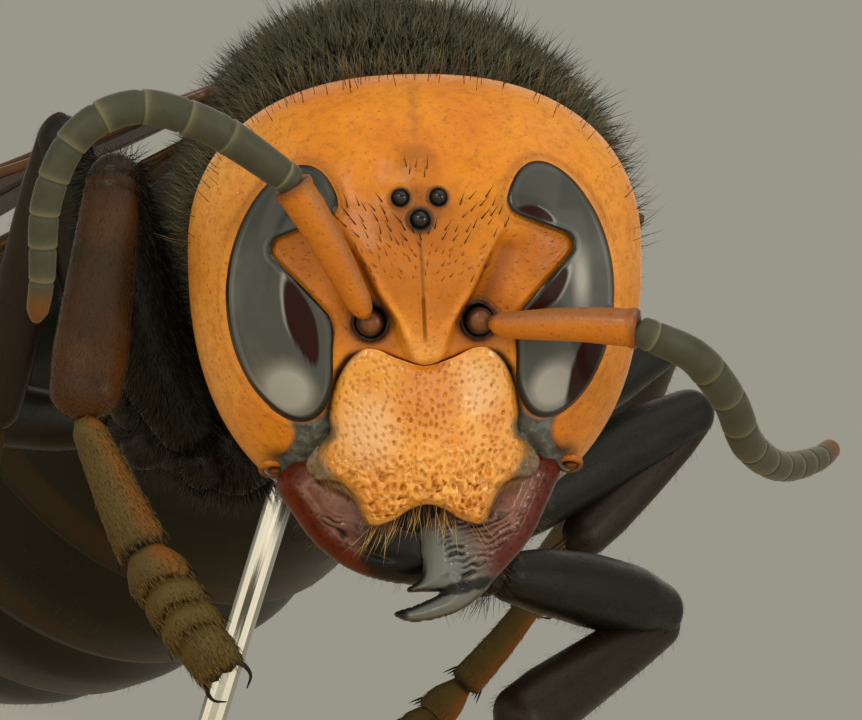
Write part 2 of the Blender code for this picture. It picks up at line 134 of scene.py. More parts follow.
def pits(points, size, seed=1):
    """Distance, in cell sizes, from each point to the nearest scattered pit, seen along Y."""
    place = points / size
    base = np.floor(place) * (1.0, 0.0, 1.0)
    nearest = np.full(len(points), 9.0)
    for dx in (-1, 0, 1):
        for dz in (-1, 0, 1):
            cell = base + (dx, 0, dz)
            gap = cell + 0.15 + 0.7 * hashed(cell, seed) - place
            nearest = np.minimum(nearest, np.hypot(gap[:, 0], gap[:, 2]))
    return nearest


def cloud(points, size, seed=1):
    """Smooth random field from -1 to 1 with features of the given size."""
    place = points / size
    base = np.floor(place)
    part = place - base
    part = part * part * (3 - 2 * part)
    total = np.zeros(len(points))
    for dx in (0, 1):
        for dy in (0, 1):
            for dz in (0, 1):
                weight = np.abs(1 - np.array((dx, dy, dz)) - part).prod(axis=1)
                total += weight * hashed(base + (dx, dy, dz), seed)[:, 0]
    return total * 2 - 1


def smooth_line(points, count):
    """Evenly spaced points on a smooth line through the given ones."""
    pts = np.array(points, float)
    pts = np.vstack([2 * pts[0] - pts[1], pts, 2 * pts[-1] - pts[-2]])
    fine = []
    for a, b, c, d in zip(pts, pts[1:], pts[2:], pts[3:]):
        t = np.linspace(0, 1, 24, endpoint=False)[:, None]
        fine.append(0.5 * (2 * b + (c - a) * t + (2 * a - 5 * b + 4 * c - d) * t ** 2
                           + (3 * b - a - 3 * c + d) * t ** 3))
    fine = np.vstack(fine + [pts[-2][None]])
    run = np.concatenate([[0], np.cumsum(np.linalg.norm(np.diff(fine, axis=0), axis=1))])
    want = np.linspace(0, run[-1], count)
    return np.stack([np.interp(want, run, fine[:, k]) for k in range(fine.shape[1])], -1)


def profile(stations, share):
    """Read a value off a short list of (share, value) pairs."""
    table = np.array(stations, float)
    return np.interp(share, table[:, 0], table[:, 1])


def ring_faces(rings, sides):
    """Faces of a tube of rings; two more points, after the last ring, close its ends."""
    r = np.arange(rings - 1)[:, None]
    k = np.arange(sides)[None, :]
    following = (k + 1) % sides
    quads = np.stack(np.broadcast_arrays(r * sides + k, r * sides + following, (r + 1) * sides + following,
                                         (r + 1) * sides + k), -1).reshape(-1, 4)
    k = np.arange(sides)
    start = np.stack([np.full(sides, rings * sides), (k + 1) % sides, k], -1)
    last = (rings - 1) * sides
    end = np.stack([np.full(sides, rings * sides + 1), last + k, last + (k + 1) % sides], -1)
    return quads, np.vstack([start, end])


def outward(points, face_sets):
    """Face sets turned so that they point out of the closed body."""
    total = 0.0
    for faces in face_sets:
        a = points[faces[:, 0]]
        for i in range(1, faces.shape[1] - 1):
            total += (a * np.cross(points[faces[:, i]], points[faces[:, i + 1]])).sum()
    return face_sets if total > 0 else [faces[:, ::-1] for faces in face_sets]


def make_piece(name, points, face_sets, finish, marks=None):
    """An object in the scene from points in millimetres; marks are numbers that its finish reads."""
    mesh = bpy.data.meshes.new(name)
    face_sets = outward(points, face_sets)
    sizes = np.concatenate([np.full(len(faces), faces.shape[1]) for faces in face_sets])
    corners = np.concatenate([faces.ravel() for faces in face_sets])
    mesh.vertices.add(len(points))
    mesh.vertices.foreach_set("co", (points * MM).ravel())
    mesh.loops.add(len(corners))
    mesh.loops.foreach_set("vertex_index", corners.astype(np.int32))
    mesh.polygons.add(len(sizes))
    mesh.polygons.foreach_set("loop_start", np.concatenate([[0], np.cumsum(sizes)[:-1]]).astype(np.int32))
    mesh.update(calc_edges=True)
    mesh.validate()
    mesh.shade_smooth()
    for key, values in (marks or {}).items():
        kind = "FLOAT_VECTOR" if np.ndim(values) == 2 else "FLOAT"
        field = "vector" if kind == "FLOAT_VECTOR" else "value"
        values = np.asarray(values, np.float32).ravel()
        mesh.attributes.new(key, kind, "POINT").data.foreach_set(field, values)
    piece = bpy.data.objects.new(name, mesh)
    bpy.context.collection.objects.link(piece)
    mesh.materials.append(finish)
    return piece


def tube(line, radii, sides, across=(0.0, 1.0, 0.2), flatness=1.0):
    """Closed tube along a line: its points, its faces, and each point's share along it and turn round it."""
    line = np.asarray(line, float)
    count = len(line)
    ahead = np.gradient(line, axis=0)
    ahead /= np.linalg.norm(ahead, axis=1)[:, None]
    thin = np.array(across, float) - ahead * (ahead @ np.array(across, float))[:, None]
    thin /= np.linalg.norm(thin, axis=1)[:, None]
    wide = np.cross(ahead, thin)
    turn = np.linspace(0, 2 * pi, sides, endpoint=False)
    radii = np.broadcast_to(np.asarray(radii, float), (count,))[:, None]
    points = (line[:, None, :] + wide[:, None, :] * (radii * np.cos(turn))[..., None]
              + thin[:, None, :] * (radii * flatness * np.sin(turn))[..., None])
    points = np.vstack([points.reshape(-1, 3), line[:1] - ahead[:1] * radii[0] * 0.2,
                        line[-1:] + ahead[-1:] * radii[-1] * 0.2])
    share = np.concatenate([np.repeat(np.linspace(0, 1, count), sides), [0, 1]])
    turns = np.concatenate([np.tile(turn, count), [0, 0]])
    return points, ring_faces(count, sides), share, turns


def joined(parts):
    """One body list from several tubes: (points, faces, marks) of each."""
    points = []
    quads = []
    tris = []
    marks = {}
    offset = 0
    for part_points, part_faces, part_marks in parts:
        points.append(part_points)
        quads.append(part_faces[0] + offset)
        tris.append(part_faces[1] + offset)
        for key, values in part_marks.items():
            marks.setdefault(key, []).append(np.broadcast_to(values, (len(part_points),)))
        offset += len(part_points)
    marks = {k: np.concatenate(v) for k, v in marks.items()}
    return np.vstack(points), [np.vstack(quads), np.vstack(tris)], marks


def surface_net(field, low, high, step):
    """Closed mesh round the part of a box where a field is negative."""
    axes = [np.arange(low[k], high[k] + step, step) for k in range(3)]
    grid = np.stack(np.meshgrid(*axes, indexing="ij"), -1)
    shape = grid.shape[:3]
    value = field(grid.reshape(-1, 3)).reshape(shape)
    inside = value < 0
    total = np.zeros(tuple(n - 1 for n in shape) + (3,))
    count = np.zeros(tuple(n - 1 for n in shape))
    corners = [(i, j, k) for i in (0, 1) for j in (0, 1) for k in (0, 1)]
    for a in corners:
        for axis in range(3):
            if a[axis]:
                continue
            b = tuple(a[n] + (n == axis) for n in range(3))
            va = value[tuple(slice(a[n], shape[n] - 1 + a[n]) for n in range(3))]
            vb = value[tuple(slice(b[n], shape[n] - 1 + b[n]) for n in range(3))]
            cut = (va < 0) != (vb < 0)
            t = np.where(cut, va / np.where(cut, va - vb, 1.0), 0.0)
            for n in range(3):
                total[..., n] += np.where(cut, a[n] + (t if n == axis else 0.0), 0.0)
            count += cut
    active = count > 0
    index = np.full(active.shape, -1)
    index[active] = np.arange(active.sum())
    where = np.stack(np.nonzero(active), -1)
    points = np.array(low) + (where + total[active] / count[active][:, None]) * step
    quads = []
    for axis in range(3):
        u = (axis + 1) % 3
        v = (axis + 2) % 3
        first = inside[tuple(slice(0, -1) if n == axis else slice(1, -1) for n in range(3))]
        second = inside[tuple(slice(1, None) if n == axis else slice(1, -1) for n in range(3))]
        place = np.stack(np.nonzero(first != second), -1)
        flip = first[tuple(place.T)]
        place[:, u] += 1
        place[:, v] += 1
        ids = []
        for du, dv in ((1, 1), (0, 1), (0, 0), (1, 0)):
            cell = place.copy()
            cell[:, u] -= du
            cell[:, v] -= dv
            ids.append(index[tuple(cell.T)])
        face = np.stack(ids, -1)
        face[~flip] = face[~flip][:, ::-1]
        quads.append(face)
    return points, [np.vstack(quads)]


def outline_distance(x, z, outline):
    """Signed distance to a closed outline, negative inside."""
    best = np.full(x.shape, 1e9)
    inside = np.zeros(x.shape, bool)
    for (ax, az), (bx, bz) in zip(outline, np.roll(outline, -1, axis=0)):
        dx = bx - ax
        dz = bz - az
        t = np.clip(((x - ax) * dx + (z - az) * dz) / (dx * dx + dz * dz + 1e-12), 0, 1)
        best = np.minimum(best, (x - ax - t * dx) ** 2 + (z - az - t * dz) ** 2)
        crosses = (az > z) != (bz > z)
        inside ^= crosses & (x < ax + (z - az) / (dz if abs(dz) > 1e-12 else 1e-12) * dx)
    return np.where(inside, -1, 1) * np.sqrt(best)


def closed_outline(points, count):
    """Evenly spaced points on a smooth closed line through the given ones."""
    pts = np.array(points, float)
    ring = np.vstack([pts[-3:], pts, pts[:3]])
    fine = smooth_line(ring, len(ring) * 24)
    start = np.argmin(np.linalg.norm(fine[:len(fine) // 2] - pts[0], axis=1))
    half = len(fine) // 2
    end = half + np.argmin(np.linalg.norm(fine[half:] - pts[0], axis=1))
    return smooth_line(fine[start:end + 1], count + 1)[:-1]


def linear(code):
    """sRGB hex colour to linear RGBA."""
    values = [int(code[i:i + 2], 16) / 255 for i in (1, 3, 5)]
    return (*[v / 12.92 if v <= 0.04045 else ((v + 0.055) / 1.055) ** 2.4 for v in values], 1.0)


def add_node(tree, kind, inputs=None, stops=None, **settings):
    """Add a node with its settings; an input is a value or the socket that feeds it."""
    made = tree.nodes.new(kind)
    for key, value in settings.items():
        setattr(made, key, value)
    for key, value in (inputs or {}).items():
        if isinstance(value, bpy.types.NodeSocket):
            tree.links.new(value, made.inputs[key])
        else:
            made.inputs[key].default_value = value
    if stops:
        ramp = made.color_ramp
        while len(ramp.elements) < len(stops):
            ramp.elements.new(0.5)
        for element, (place, colour) in zip(ramp.elements, stops):
            element.position = place
            element.color = linear(colour)
    return made


def new_finish(name, *marks):
    """An empty material: its tree, its Principled shader's inputs, its object-space coordinates and the
    outputs of the named marks that its pieces carry."""
    finish = bpy.data.materials.new(name)
    finish.use_nodes = True
    tree = finish.node_tree
    place = add_node(tree, "ShaderNodeTexCoord").outputs["Object"]
    masks = [add_node(tree, "ShaderNodeAttribute", attribute_name=mark).outputs["Fac"] for mark in marks]
    return (finish, tree, tree.nodes["Principled BSDF"].inputs, place, *masks)


def painted(tree, ground, *layers):
    """Layers of colour over a ground: each is the mask that lets it show, and its hex colour or a socket."""
    for mask, paint in layers:
        paint = linear(paint) if isinstance(paint, str) else paint
        ground = add_node(tree, "ShaderNodeMix", {0: mask, 6: ground, 7: paint}, data_type="RGBA").outputs[2]
    return ground


def dress(tree, inputs, colour, height, strength, depth, constants):
    """Give a shader its colour, its relief of the given depth in millimetres and its constant values."""
    tree.links.new(colour, inputs["Base Color"])
    bump = add_node(tree, "ShaderNodeBump", {"Height": height, "Strength": strength, "Distance": depth * MM})
    tree.links.new(bump.outputs["Normal"], inputs["Normal"])
    for key, value in constants.items():
        inputs[key].default_value = value
    return bump


def cuticle_orange():
    """Orange wasp cuticle: hard, faintly waxy shell with a low gloss, fine punctures about 0.17 mm apart
    and a soft orange mottle. Its colour also carries painted light: pale honey highlights with glinting
    flecks, a sheen on the bare skin, and shade painted in amber and brown over its own amber tints."""
    finish, tree, inputs, place, amber, stain_and_shade, skin, pale, black = new_finish(
        "wasp_cuticle_orange", "amber", "stain_and_shade", "skin", "pale", "black")
    mottle = add_node(tree, "ShaderNodeTexNoise", {"Vector": place, "Scale": 0.7 * PER_MM, "Detail": 4.0})
    mottle = add_node(tree, "ShaderNodeMapRange", {0: mottle.outputs["Fac"], 1: 0.35, 2: 0.68}).outputs[0]
    cloudy = add_node(tree, "ShaderNodeTexNoise", {"Vector": place, "Scale": 5 * PER_MM, "Detail": 3.0})
    cloudy = add_node(tree, "ShaderNodeMapRange",
                      {0: cloudy.outputs["Fac"], 1: 0.45, 2: 0.7, 3: 0.0, 4: 0.4}).outputs[0]
    # Dark dots, one in each puncture: painted shade in the pits
    spots = add_node(tree, "ShaderNodeTexVoronoi", {"Vector": place, "Scale": 5.9 * PER_MM, "Randomness": 0.9})
    dots = add_node(tree, "ShaderNodeMapRange",
                    {0: spots.outputs["Distance"], 1: 0.08, 2: 0.22, 3: 0.4, 4: 0.0}).outputs[0]
    grime = add_node(tree, "ShaderNodeTexNoise", {"Vector": place, "Scale": 16 * PER_MM, "Detail": 3.0})
    grime = add_node(tree, "ShaderNodeMapRange",
                     {0: grime.outputs["Fac"], 1: 0.54, 2: 0.76, 3: 0.0, 4: 0.38}).outputs[0]
    # Pale flecks where the painted highlight lies: painted glints on the puncture rims
    painted_glints = add_node(tree, "ShaderNodeTexVoronoi", {"Vector": place, "Scale": 3.3 * PER_MM, "Randomness": 1.0})
    painted_glints = add_node(tree, "ShaderNodeMapRange",
                      {0: painted_glints.outputs["Distance"], 1: 0.05, 2: 0.11, 3: 0.8, 4: 0.0}).outputs[0]
    painted_glints = add_node(tree, "ShaderNodeMath", {0: painted_glints, 1: pale}, operation="MULTIPLY").outputs[0]
    # Lighter streaks on the bare skin: a painted sheen
    painted_sheen = add_node(tree, "ShaderNodeMapRange", {0: cloudy, 1: 0.05, 2: 0.35}).outputs[0]
    bare_skin = painted(tree, linear("#444A49"), (painted_sheen, "#6C7371"))
    # Layers: pale is a painted highlight; amber and the stain layer also carry painted shade; the dots are
    # painted shade in the punctures
    ground = painted(tree, linear("#D87D12"), (mottle, "#E6921E"), (pale, "#F2AC52"), (amber, "#B06006"),
                     (cloudy, "#AC640E"), (dots, "#985410"), (grime, "#96591A"), (painted_glints, "#F8D9A0"),
                     (stain_and_shade, "#64340E"), (skin, bare_skin), (black, "#120C08"))
    wet = add_node(tree, "ShaderNodeMath", {0: skin, 1: 0.7, 2: 0.25}, operation="MULTIPLY_ADD").outputs[0]
    tree.links.new(wet, inputs["Coat Weight"])
    grain = add_node(tree, "ShaderNodeTexNoise", {"Vector": place, "Scale": 14 * PER_MM, "Detail": 3.0})
    dips = add_node(tree, "ShaderNodeMapRange", {0: spots.outputs["Distance"], 1: 0.08, 2: 0.3}).outputs[0]
    height = add_node(tree, "ShaderNodeMath", {0: grain.outputs["Fac"], 1: dips}, operation="ADD").outputs[0]
    dress(tree, inputs, ground, height, 0.8, 0.018,
          {"Roughness": 0.5, "Specular IOR Level": 0.25, "Coat Roughness": 0.22, "IOR": 1.5})
    return finish


def cuticle_pitted():
    """Face shield cuticle: the same orange shell, wetter in gloss, pressed full of pits 0.12 mm apart whose
    raised rims each catch the light. The pits' brown floors and the wrinkles low down are painted shade,
    and the pale peach on the plate's sides is a painted highlight."""
    finish, tree, inputs, place, amber, pit, skin, pale, black, rough = new_finish(
        "wasp_cuticle_pitted", "amber", "pit", "skin", "pale", "black", "rough")
    mottle = add_node(tree, "ShaderNodeTexNoise", {"Vector": place, "Scale": 1.6 * PER_MM, "Detail": 5.0})
    mottle = add_node(tree, "ShaderNodeMapRange", {0: mottle.outputs["Fac"], 1: 0.35, 2: 0.68}).outputs[0]
    # The pits are a little longer than wide and wander, so that no rows show
    longer = add_node(tree, "ShaderNodeMapping", {"Vector": place, "Scale": (1.0, 0.6, 0.62)}).outputs[0]
    wander = add_node(tree, "ShaderNodeTexNoise", {"Vector": longer, "Scale": 3 * PER_MM, "Detail": 2.0})
    bent = add_node(tree, "ShaderNodeVectorMath", {0: wander.outputs["Color"], "Scale": 0.12 * MM},
                    operation="SCALE")
    bent = add_node(tree, "ShaderNodeVectorMath", {0: longer, 1: bent.outputs[0]}, operation="ADD").outputs[0]
    cells = add_node(tree, "ShaderNodeTexVoronoi", {"Vector": bent, "Scale": 8.6 * PER_MM, "Randomness": 0.85})
    dips = add_node(tree, "ShaderNodeMapRange", {0: cells.outputs["Distance"], 1: 0.05, 2: 0.42},
                    interpolation_type="SMOOTHSTEP").outputs[0]
    # Brown floor in each pit: painted shade
    floor = add_node(tree, "ShaderNodeMapRange",
                     {0: cells.outputs["Distance"], 1: 0.05, 2: 0.2, 3: 0.75, 4: 0.0}).outputs[0]
    # Pale is a painted highlight; pit is painted shade in the pits and creases
    ground = painted(tree, linear("#EA9628"), (mottle, "#F6AE42"), (pale, "#FAC890"), (amber, "#DC8408"),
                     (pit, "#A05E14"), (floor, "#98540F"), (skin, "#67604F"), (black, "#120C08"))
    grain = add_node(tree, "ShaderNodeTexNoise", {"Vector": place, "Scale": 9 * PER_MM, "Detail": 3.0})
    rubble = add_node(tree, "ShaderNodeMath", {0: grain.outputs["Fac"], 1: rough}, operation="MULTIPLY")
    height = add_node(tree, "ShaderNodeMath", {0: dips, 1: rubble.outputs[0]}, operation="ADD").outputs[0]
    dress(tree, inputs, ground, height, 0.9, 0.03,
          {"Roughness": 0.35, "Specular IOR Level": 0.4, "Coat Weight": 0.8, "Coat IOR": 1.6,
           "Coat Roughness": 0.16})
    return finish


def eye_lens():
    """Compound eye: black-brown pigment under thousands of clear corneal lenses 0.03 mm wide. Over the
    pigment lies a smooth grey that is a painted reflection, brightening into painted highlights towards
    the lower end; where it is left out, crisp patches of the dark red pigment show."""
    finish, tree, inputs, place, painted_reflection, patch = new_finish("compound_eye_cornea", "painted_reflection", "patch")
    mottle = add_node(tree, "ShaderNodeTexNoise", {"Vector": place, "Scale": 1.5 * PER_MM, "Detail": 3.0})
    painted_reflection = add_node(tree, "ShaderNodeMath", {0: mottle.outputs["Fac"], 1: 0.12, 2: painted_reflection},
                    operation="MULTIPLY_ADD").outputs[0]
    # Grey ramp of the painted reflection
    ground = add_node(tree, "ShaderNodeValToRGB", {"Fac": painted_reflection}, stops=(
        (0.0, "#0A0908"), (0.3, "#212320"), (0.65, "#4D514E"), (1.0, "#A6A8A5"))).outputs["Color"]
    shine = add_node(tree, "ShaderNodeMapRange", {0: patch, 1: 0.0, 2: 1.0, 3: 0.7, 4: 0.22}).outputs[0]
    tree.links.new(shine, inputs["Coat Weight"])
    facets = add_node(tree, "ShaderNodeTexVoronoi", {"Vector": place, "Scale": 33 * PER_MM, "Randomness": 0.15})
    bump = dress(tree, inputs, painted(tree, ground, (patch, "#280702")), facets.outputs["Distance"], 0.08,
                 0.003, {"Roughness": 0.4, "Specular IOR Level": 0.1, "Coat IOR": 1.5, "Coat Roughness": 0.15})
    # Each lens is highest at its middle, where the distance is least
    bump.invert = True
    return finish


def jaw_shell():
    """Mandible cuticle: the thickest shell of all, dusky pink where it is crowned, with a mahogany band
    along its outer edge, turning black at the cutting edge and scored with slanting lines. The scored
    lines and pits are painted dark as shade, the grey on jaw l is a painted highlight, and the black over
    the inner end of jaw r is a painted shadow."""
    finish, tree, inputs, place, tip, edge, pit, grey = new_finish(
        "mandible_cuticle_mahogany", "tip", "edge", "pit", "grey")
    mottle = add_node(tree, "ShaderNodeTexNoise", {"Vector": place, "Scale": 2.5 * PER_MM, "Detail": 4.0})
    mottle = mottle.outputs["Fac"]
    rusty = painted(tree, linear("#3C0E03"), (mottle, "#6C2408"))
    # Grey is a painted highlight; pit is painted shade in the scored lines and pits; tip on jaw r is a painted
    # shadow
    ground = painted(tree, linear("#5A2E22"), (mottle, "#A0705E"), (edge, rusty), (grey, "#6C716F"),
                     (tip, "#080807"), (pit, "#100605"))
    dull = add_node(tree, "ShaderNodeMath", {0: tip, 1: edge}, operation="MAXIMUM").outputs[0]
    shine = add_node(tree, "ShaderNodeMapRange", {0: dull, 1: 0.0, 2: 1.0, 3: 0.45, 4: 0.14}).outputs[0]
    tree.links.new(shine, inputs["Coat Weight"])
    grain = add_node(tree, "ShaderNodeTexNoise", {"Vector": place, "Scale": 16 * PER_MM, "Detail": 3.0})
    dress(tree, inputs, ground, grain.outputs["Fac"], 0.3, 0.01,
          {"Roughness": 0.34, "Specular IOR Level": 0.22, "Coat Roughness": 0.12})
    return finish


def whip_shell():
    """Antenna cuticle: matt olive-grey rings, each with a pale rim of thin skin, warming to orange-brown
    at the last ring. Its down is too fine to show, so a grain of 0.03 mm and a sheen stand for it."""
    finish, tree, inputs, place, rim, tip = new_finish("antenna_cuticle_downy", "rim", "tip")
    mottle = add_node(tree, "ShaderNodeTexNoise", {"Vector": place, "Scale": 3 * PER_MM, "Detail": 4.0})
    ground = painted(tree, linear("#33352A"), (mottle.outputs["Fac"], "#4C4E3E"), (rim, "#7E7A5C"),
                     (tip, "#6A4416"))
    grain = add_node(tree, "ShaderNodeTexNoise", {"Vector": place, "Scale": 30 * PER_MM, "Detail": 2.0})
    dress(tree, inputs, ground, grain.outputs["Fac"], 0.4, 0.01,
          {"Roughness": 0.5, "Specular IOR Level": 0.25, "Sheen Weight": 0.15, "Sheen Roughness": 0.4})
    return finish


def body_shell(name, dark, light, roughness, gloss, tan="#54300C"):
    """Dark cuticle of body and legs: near-black shell, faintly brown where it is thin, with shallow
    punctures 0.12 mm apart that break up its shine."""
    finish, tree, inputs, place, warm, band, rim = new_finish(name, "warm", "band", "rim")
    mottle = add_node(tree, "ShaderNodeTexNoise", {"Vector": place, "Scale": 1.5 * PER_MM, "Detail": 4.0})
    ground = painted(tree, linear(dark), (mottle.outputs["Fac"], light), (warm, tan), (rim, "#120C06"),
                     (band, "#D18A2C"))
    spots = add_node(tree, "ShaderNodeTexVoronoi", {"Vector": place, "Scale": 8.3 * PER_MM, "Randomness": 0.9})
    dips = add_node(tree, "ShaderNodeMapRange", {0: spots.outputs["Distance"], 1: 0.05, 2: 0.4}).outputs[0]
    dress(tree, inputs, ground, dips, 0.4, 0.012,
          {"Roughness": roughness, "Specular IOR Level": 0.22, "Coat Weight": gloss, "Coat Roughness": 0.3})
    return finish


def hair_finish(name, root, tip):
    """Insect hair: tapering rods of cuticle, satin along their length, each a little lighter or darker
    than the next."""
    finish, tree, inputs, _, rise, tone = new_finish(name, "rise", "tone")
    share = add_node(tree, "ShaderNodeMath", {0: rise, 1: tone}, operation="MULTIPLY").outputs[0]
    tree.links.new(painted(tree, linear(root), (share, tip)), inputs["Base Color"])
    inputs["Roughness"].default_value = 0.45
    return finish


def wing_membrane():
    """Wing membrane: smoky amber film, see-through, with a faint oily gloss and fine creases between
    the veins."""
    finish, tree, inputs, place = new_finish("wing_membrane_amber")
    creases = add_node(tree, "ShaderNodeTexNoise", {"Vector": place, "Scale": 1.8 * PER_MM, "Detail": 5.0,
                                                    "Distortion": 1.5}).outputs["Fac"]
    dress(tree, inputs, painted(tree, linear("#3E2A12"), (creases, "#6E5026")), creases, 0.5, 0.06,
          {"Roughness": 0.4, "Specular IOR Level": 0.25, "Alpha": 0.66})
    return finish


def wing_vein():
    """Wing vein: hollow rod of tanned brown cuticle, satin."""
    finish, tree, inputs, place = new_finish("wing_vein_tanned")
    mottle = add_node(tree, "ShaderNodeTexNoise", {"Vector": place, "Scale": 1.5 * PER_MM, "Detail": 3.0})
    ground = painted(tree, linear("#3A2110"), (mottle.outputs["Fac"], "#6A4420"))
    tree.links.new(ground, inputs["Base Color"])
    inputs["Roughness"].default_value = 0.4
    return finish


def limewood():
    """Waxed limewood block: pale, even wood, planed and sanded, with soft growth rings about 2 mm apart
    and short grain flecks."""
    finish, tree, inputs, place = new_finish("limewood_waxed")
    rings = add_node(tree, "ShaderNodeMapping", {"Vector": place, "Scale": (1.0, 0.12, 1.0),
                                                 "Location": (0.11, 0.0, 0.07)}).outputs[0]
    growth = add_node(tree, "ShaderNodeTexWave",
                      {"Vector": rings, "Scale": 0.16 * PER_MM, "Distortion": 5.0, "Detail": 3.0,
                       "Detail Scale": 1.2}, wave_type="RINGS", rings_direction="Y").outputs["Fac"]
    fibre = add_node(tree, "ShaderNodeMapping", {"Vector": place, "Scale": (1.0, 0.04, 1.0)}).outputs[0]
    fleck = add_node(tree, "ShaderNodeTexNoise", {"Vector": fibre, "Scale": 6 * PER_MM, "Detail": 4.0})
    fleck = fleck.outputs["Fac"]
    marked = add_node(tree, "ShaderNodeMapRange", {0: fleck, 1: 0.5, 2: 0.75, 3: 0.0, 4: 0.5}).outputs[0]
    ground = painted(tree, linear("#DCC39A"), (growth, "#CDAE80"), (marked, "#A98658"))
    dress(tree, inputs, ground, fleck, 0.25, 0.04,
          {"Roughness": 0.5, "Coat Weight": 0.15, "Coat Roughness": 0.4})
    return finish


def drawn_steel():
    """Insect pin: drawn and plated steel wire, bright, with lengthwise drawing lines. The real lines are
    far too fine to show, so they are drawn 0.06 mm apart."""
    finish, tree, inputs, place = new_finish("pin_steel_drawn")
    along = add_node(tree, "ShaderNodeMapping", {"Vector": place, "Scale": (1.0, 1.0, 0.02)}).outputs[0]
    lines = add_node(tree, "ShaderNodeTexNoise", {"Vector": along, "Scale": 16 * PER_MM, "Detail": 2.0})
    lines = lines.outputs["Fac"]
    dress(tree, inputs, painted(tree, linear("#C6C4B6"), (lines, "#ECEAE0")), lines, 0.2, 0.01,
          {"Metallic": 1.0, "Roughness": 0.13})
    return finish


def studio_floor():
    """Matt pale paper sweep that fades out with distance, so no horizon shows."""
    finish, tree, inputs, place = new_finish("studio_paper_floor")
    inputs["Base Color"].default_value = linear("#CFCCC2")
    inputs["Roughness"].default_value = 0.9
    far = add_node(tree, "ShaderNodeVectorMath", {0: place}, operation="LENGTH").outputs["Value"]
    fade = add_node(tree, "ShaderNodeMapRange", {0: far, 1: 120 * MM, 2: 280 * MM},
                    interpolation_type="SMOOTHSTEP").outputs[0]
    clear = add_node(tree, "ShaderNodeBsdfTransparent").outputs[0]
    paper = tree.nodes["Principled BSDF"].outputs[0]
    mixed = add_node(tree, "ShaderNodeMixShader", {0: fade, 1: paper, 2: clear}).outputs[0]
    tree.links.new(mixed, tree.nodes["Material Output"].inputs["Surface"])
    return finish


# Head

def head_reach(x, z):
    """0 on the head's axis, 1 on its outline."""
    z = z - HEAD_MID_Z
    reach = 0.5 * (HEAD_RISE + HEAD_DROP) + 0.5 * (HEAD_RISE - HEAD_DROP) * np.tanh(z / 0.9)
    n = HEAD_SQUARENESS
    return (np.abs(x / HEAD_HALF_WIDTH) ** n + np.abs(z / reach) ** n) ** (1.0 / n)


def face_y(x, z):
    """Depth of the face's smooth dome."""
    return -FACE_DEPTH * np.clip(1.0 - head_reach(x, z) ** 2.2, 0.0, 1.0) ** 0.55


def eye_frame(x, z):
    """Place across and along the eye, from -1 to 1, and its half width there."""
    rise = z - EYE_MID_Z
    aside = x - (2.76 - 0.02 * rise - 0.047 * rise ** 2)
    half_width = np.where(aside < 0, EYE_HALF_WIDTH - 0.27 * bump_at(z + 0.85, 1.0), EYE_HALF_WIDTH)
    return aside / half_width, rise / EYE_HALF_HEIGHT, half_width


def eye_distance(x, z):
    """Rough distance to the eye's outline, negative inside: an egg with a rounded notch cut into it."""
    x = np.abs(x)
    u, v, half_width = eye_frame(x, z)
    q = np.sqrt(u * u + v * v) + 1e-6
    egg = (q - 1) / np.sqrt((u / (half_width * q)) ** 2 + (v / (EYE_HALF_HEIGHT * q)) ** 2)
    bisector = radians(NOTCH_BISECTOR)
    half = radians(NOTCH_HALF_ANGLE)
    px = x - NOTCH_HEART[0]
    pz = z - NOTCH_HEART[1]
    along = px * cos(bisector) + pz * sin(bisector)
    aside = np.abs(-px * sin(bisector) + pz * cos(bisector))
    wedge = np.where(along * cos(half) + aside * sin(half) < 0, np.hypot(along, aside),
                     aside * cos(half) - along * sin(half))
    notch = NOTCH_RADIUS - wedge
    blend = np.clip(0.5 + 0.5 * (egg - notch) / EYE_EDGE_BLEND, 0, 1)
    return notch + (egg - notch) * blend + EYE_EDGE_BLEND * blend * (1 - blend)


def eye_rim(count):
    """The eye's outline, found along rays from its heart."""
    turn = np.linspace(0, 2 * pi, count, endpoint=False)
    near = np.zeros(count)
    far = np.full(count, 5.0)
    for _ in range(24):
        middle = 0.5 * (near + far)
        inside = eye_distance(EYE_HEART[0] + middle * np.cos(turn), EYE_HEART[1] + middle * np.sin(turn)) < 0
        near = np.where(inside, middle, near)
        far = np.where(inside, far, middle)
    return np.stack([near * np.cos(turn), near * np.sin(turn)], -1)


def clypeus_rim(count):
    """Outline of the face shield: domed top, waisted sides, two blunt lobes with a notch between."""
    half = ((0.0, -1.3), (0.55, -1.15), (0.98, -0.96), (1.3, -0.97), (1.6, -1.25), (1.84, -1.75),
            (1.93, -2.25), (1.93, -2.66), (2.2, -2.98), (2.38, -3.32), (2.2, -3.6), (1.8, -3.64),
            (1.5, -3.86), (1.3, -4.28), (1.12, -4.54), (0.7, -4.44), (0.35, -4.22), (0.0, -4.12))
    loop = list(half) + [(-x, z) for x, z in reversed(half[1:-1])]
    return closed_outline(loop, count)


def swung(directions):
    """Directions in the head's frame, turned into the object's frame."""
    return directions @ np.array(HEAD_TURN.to_matrix()).T


def to_world(points):
    """Points in the head's frame, brought into the object's frame."""
    return swung(points) + HEAD_PLACE


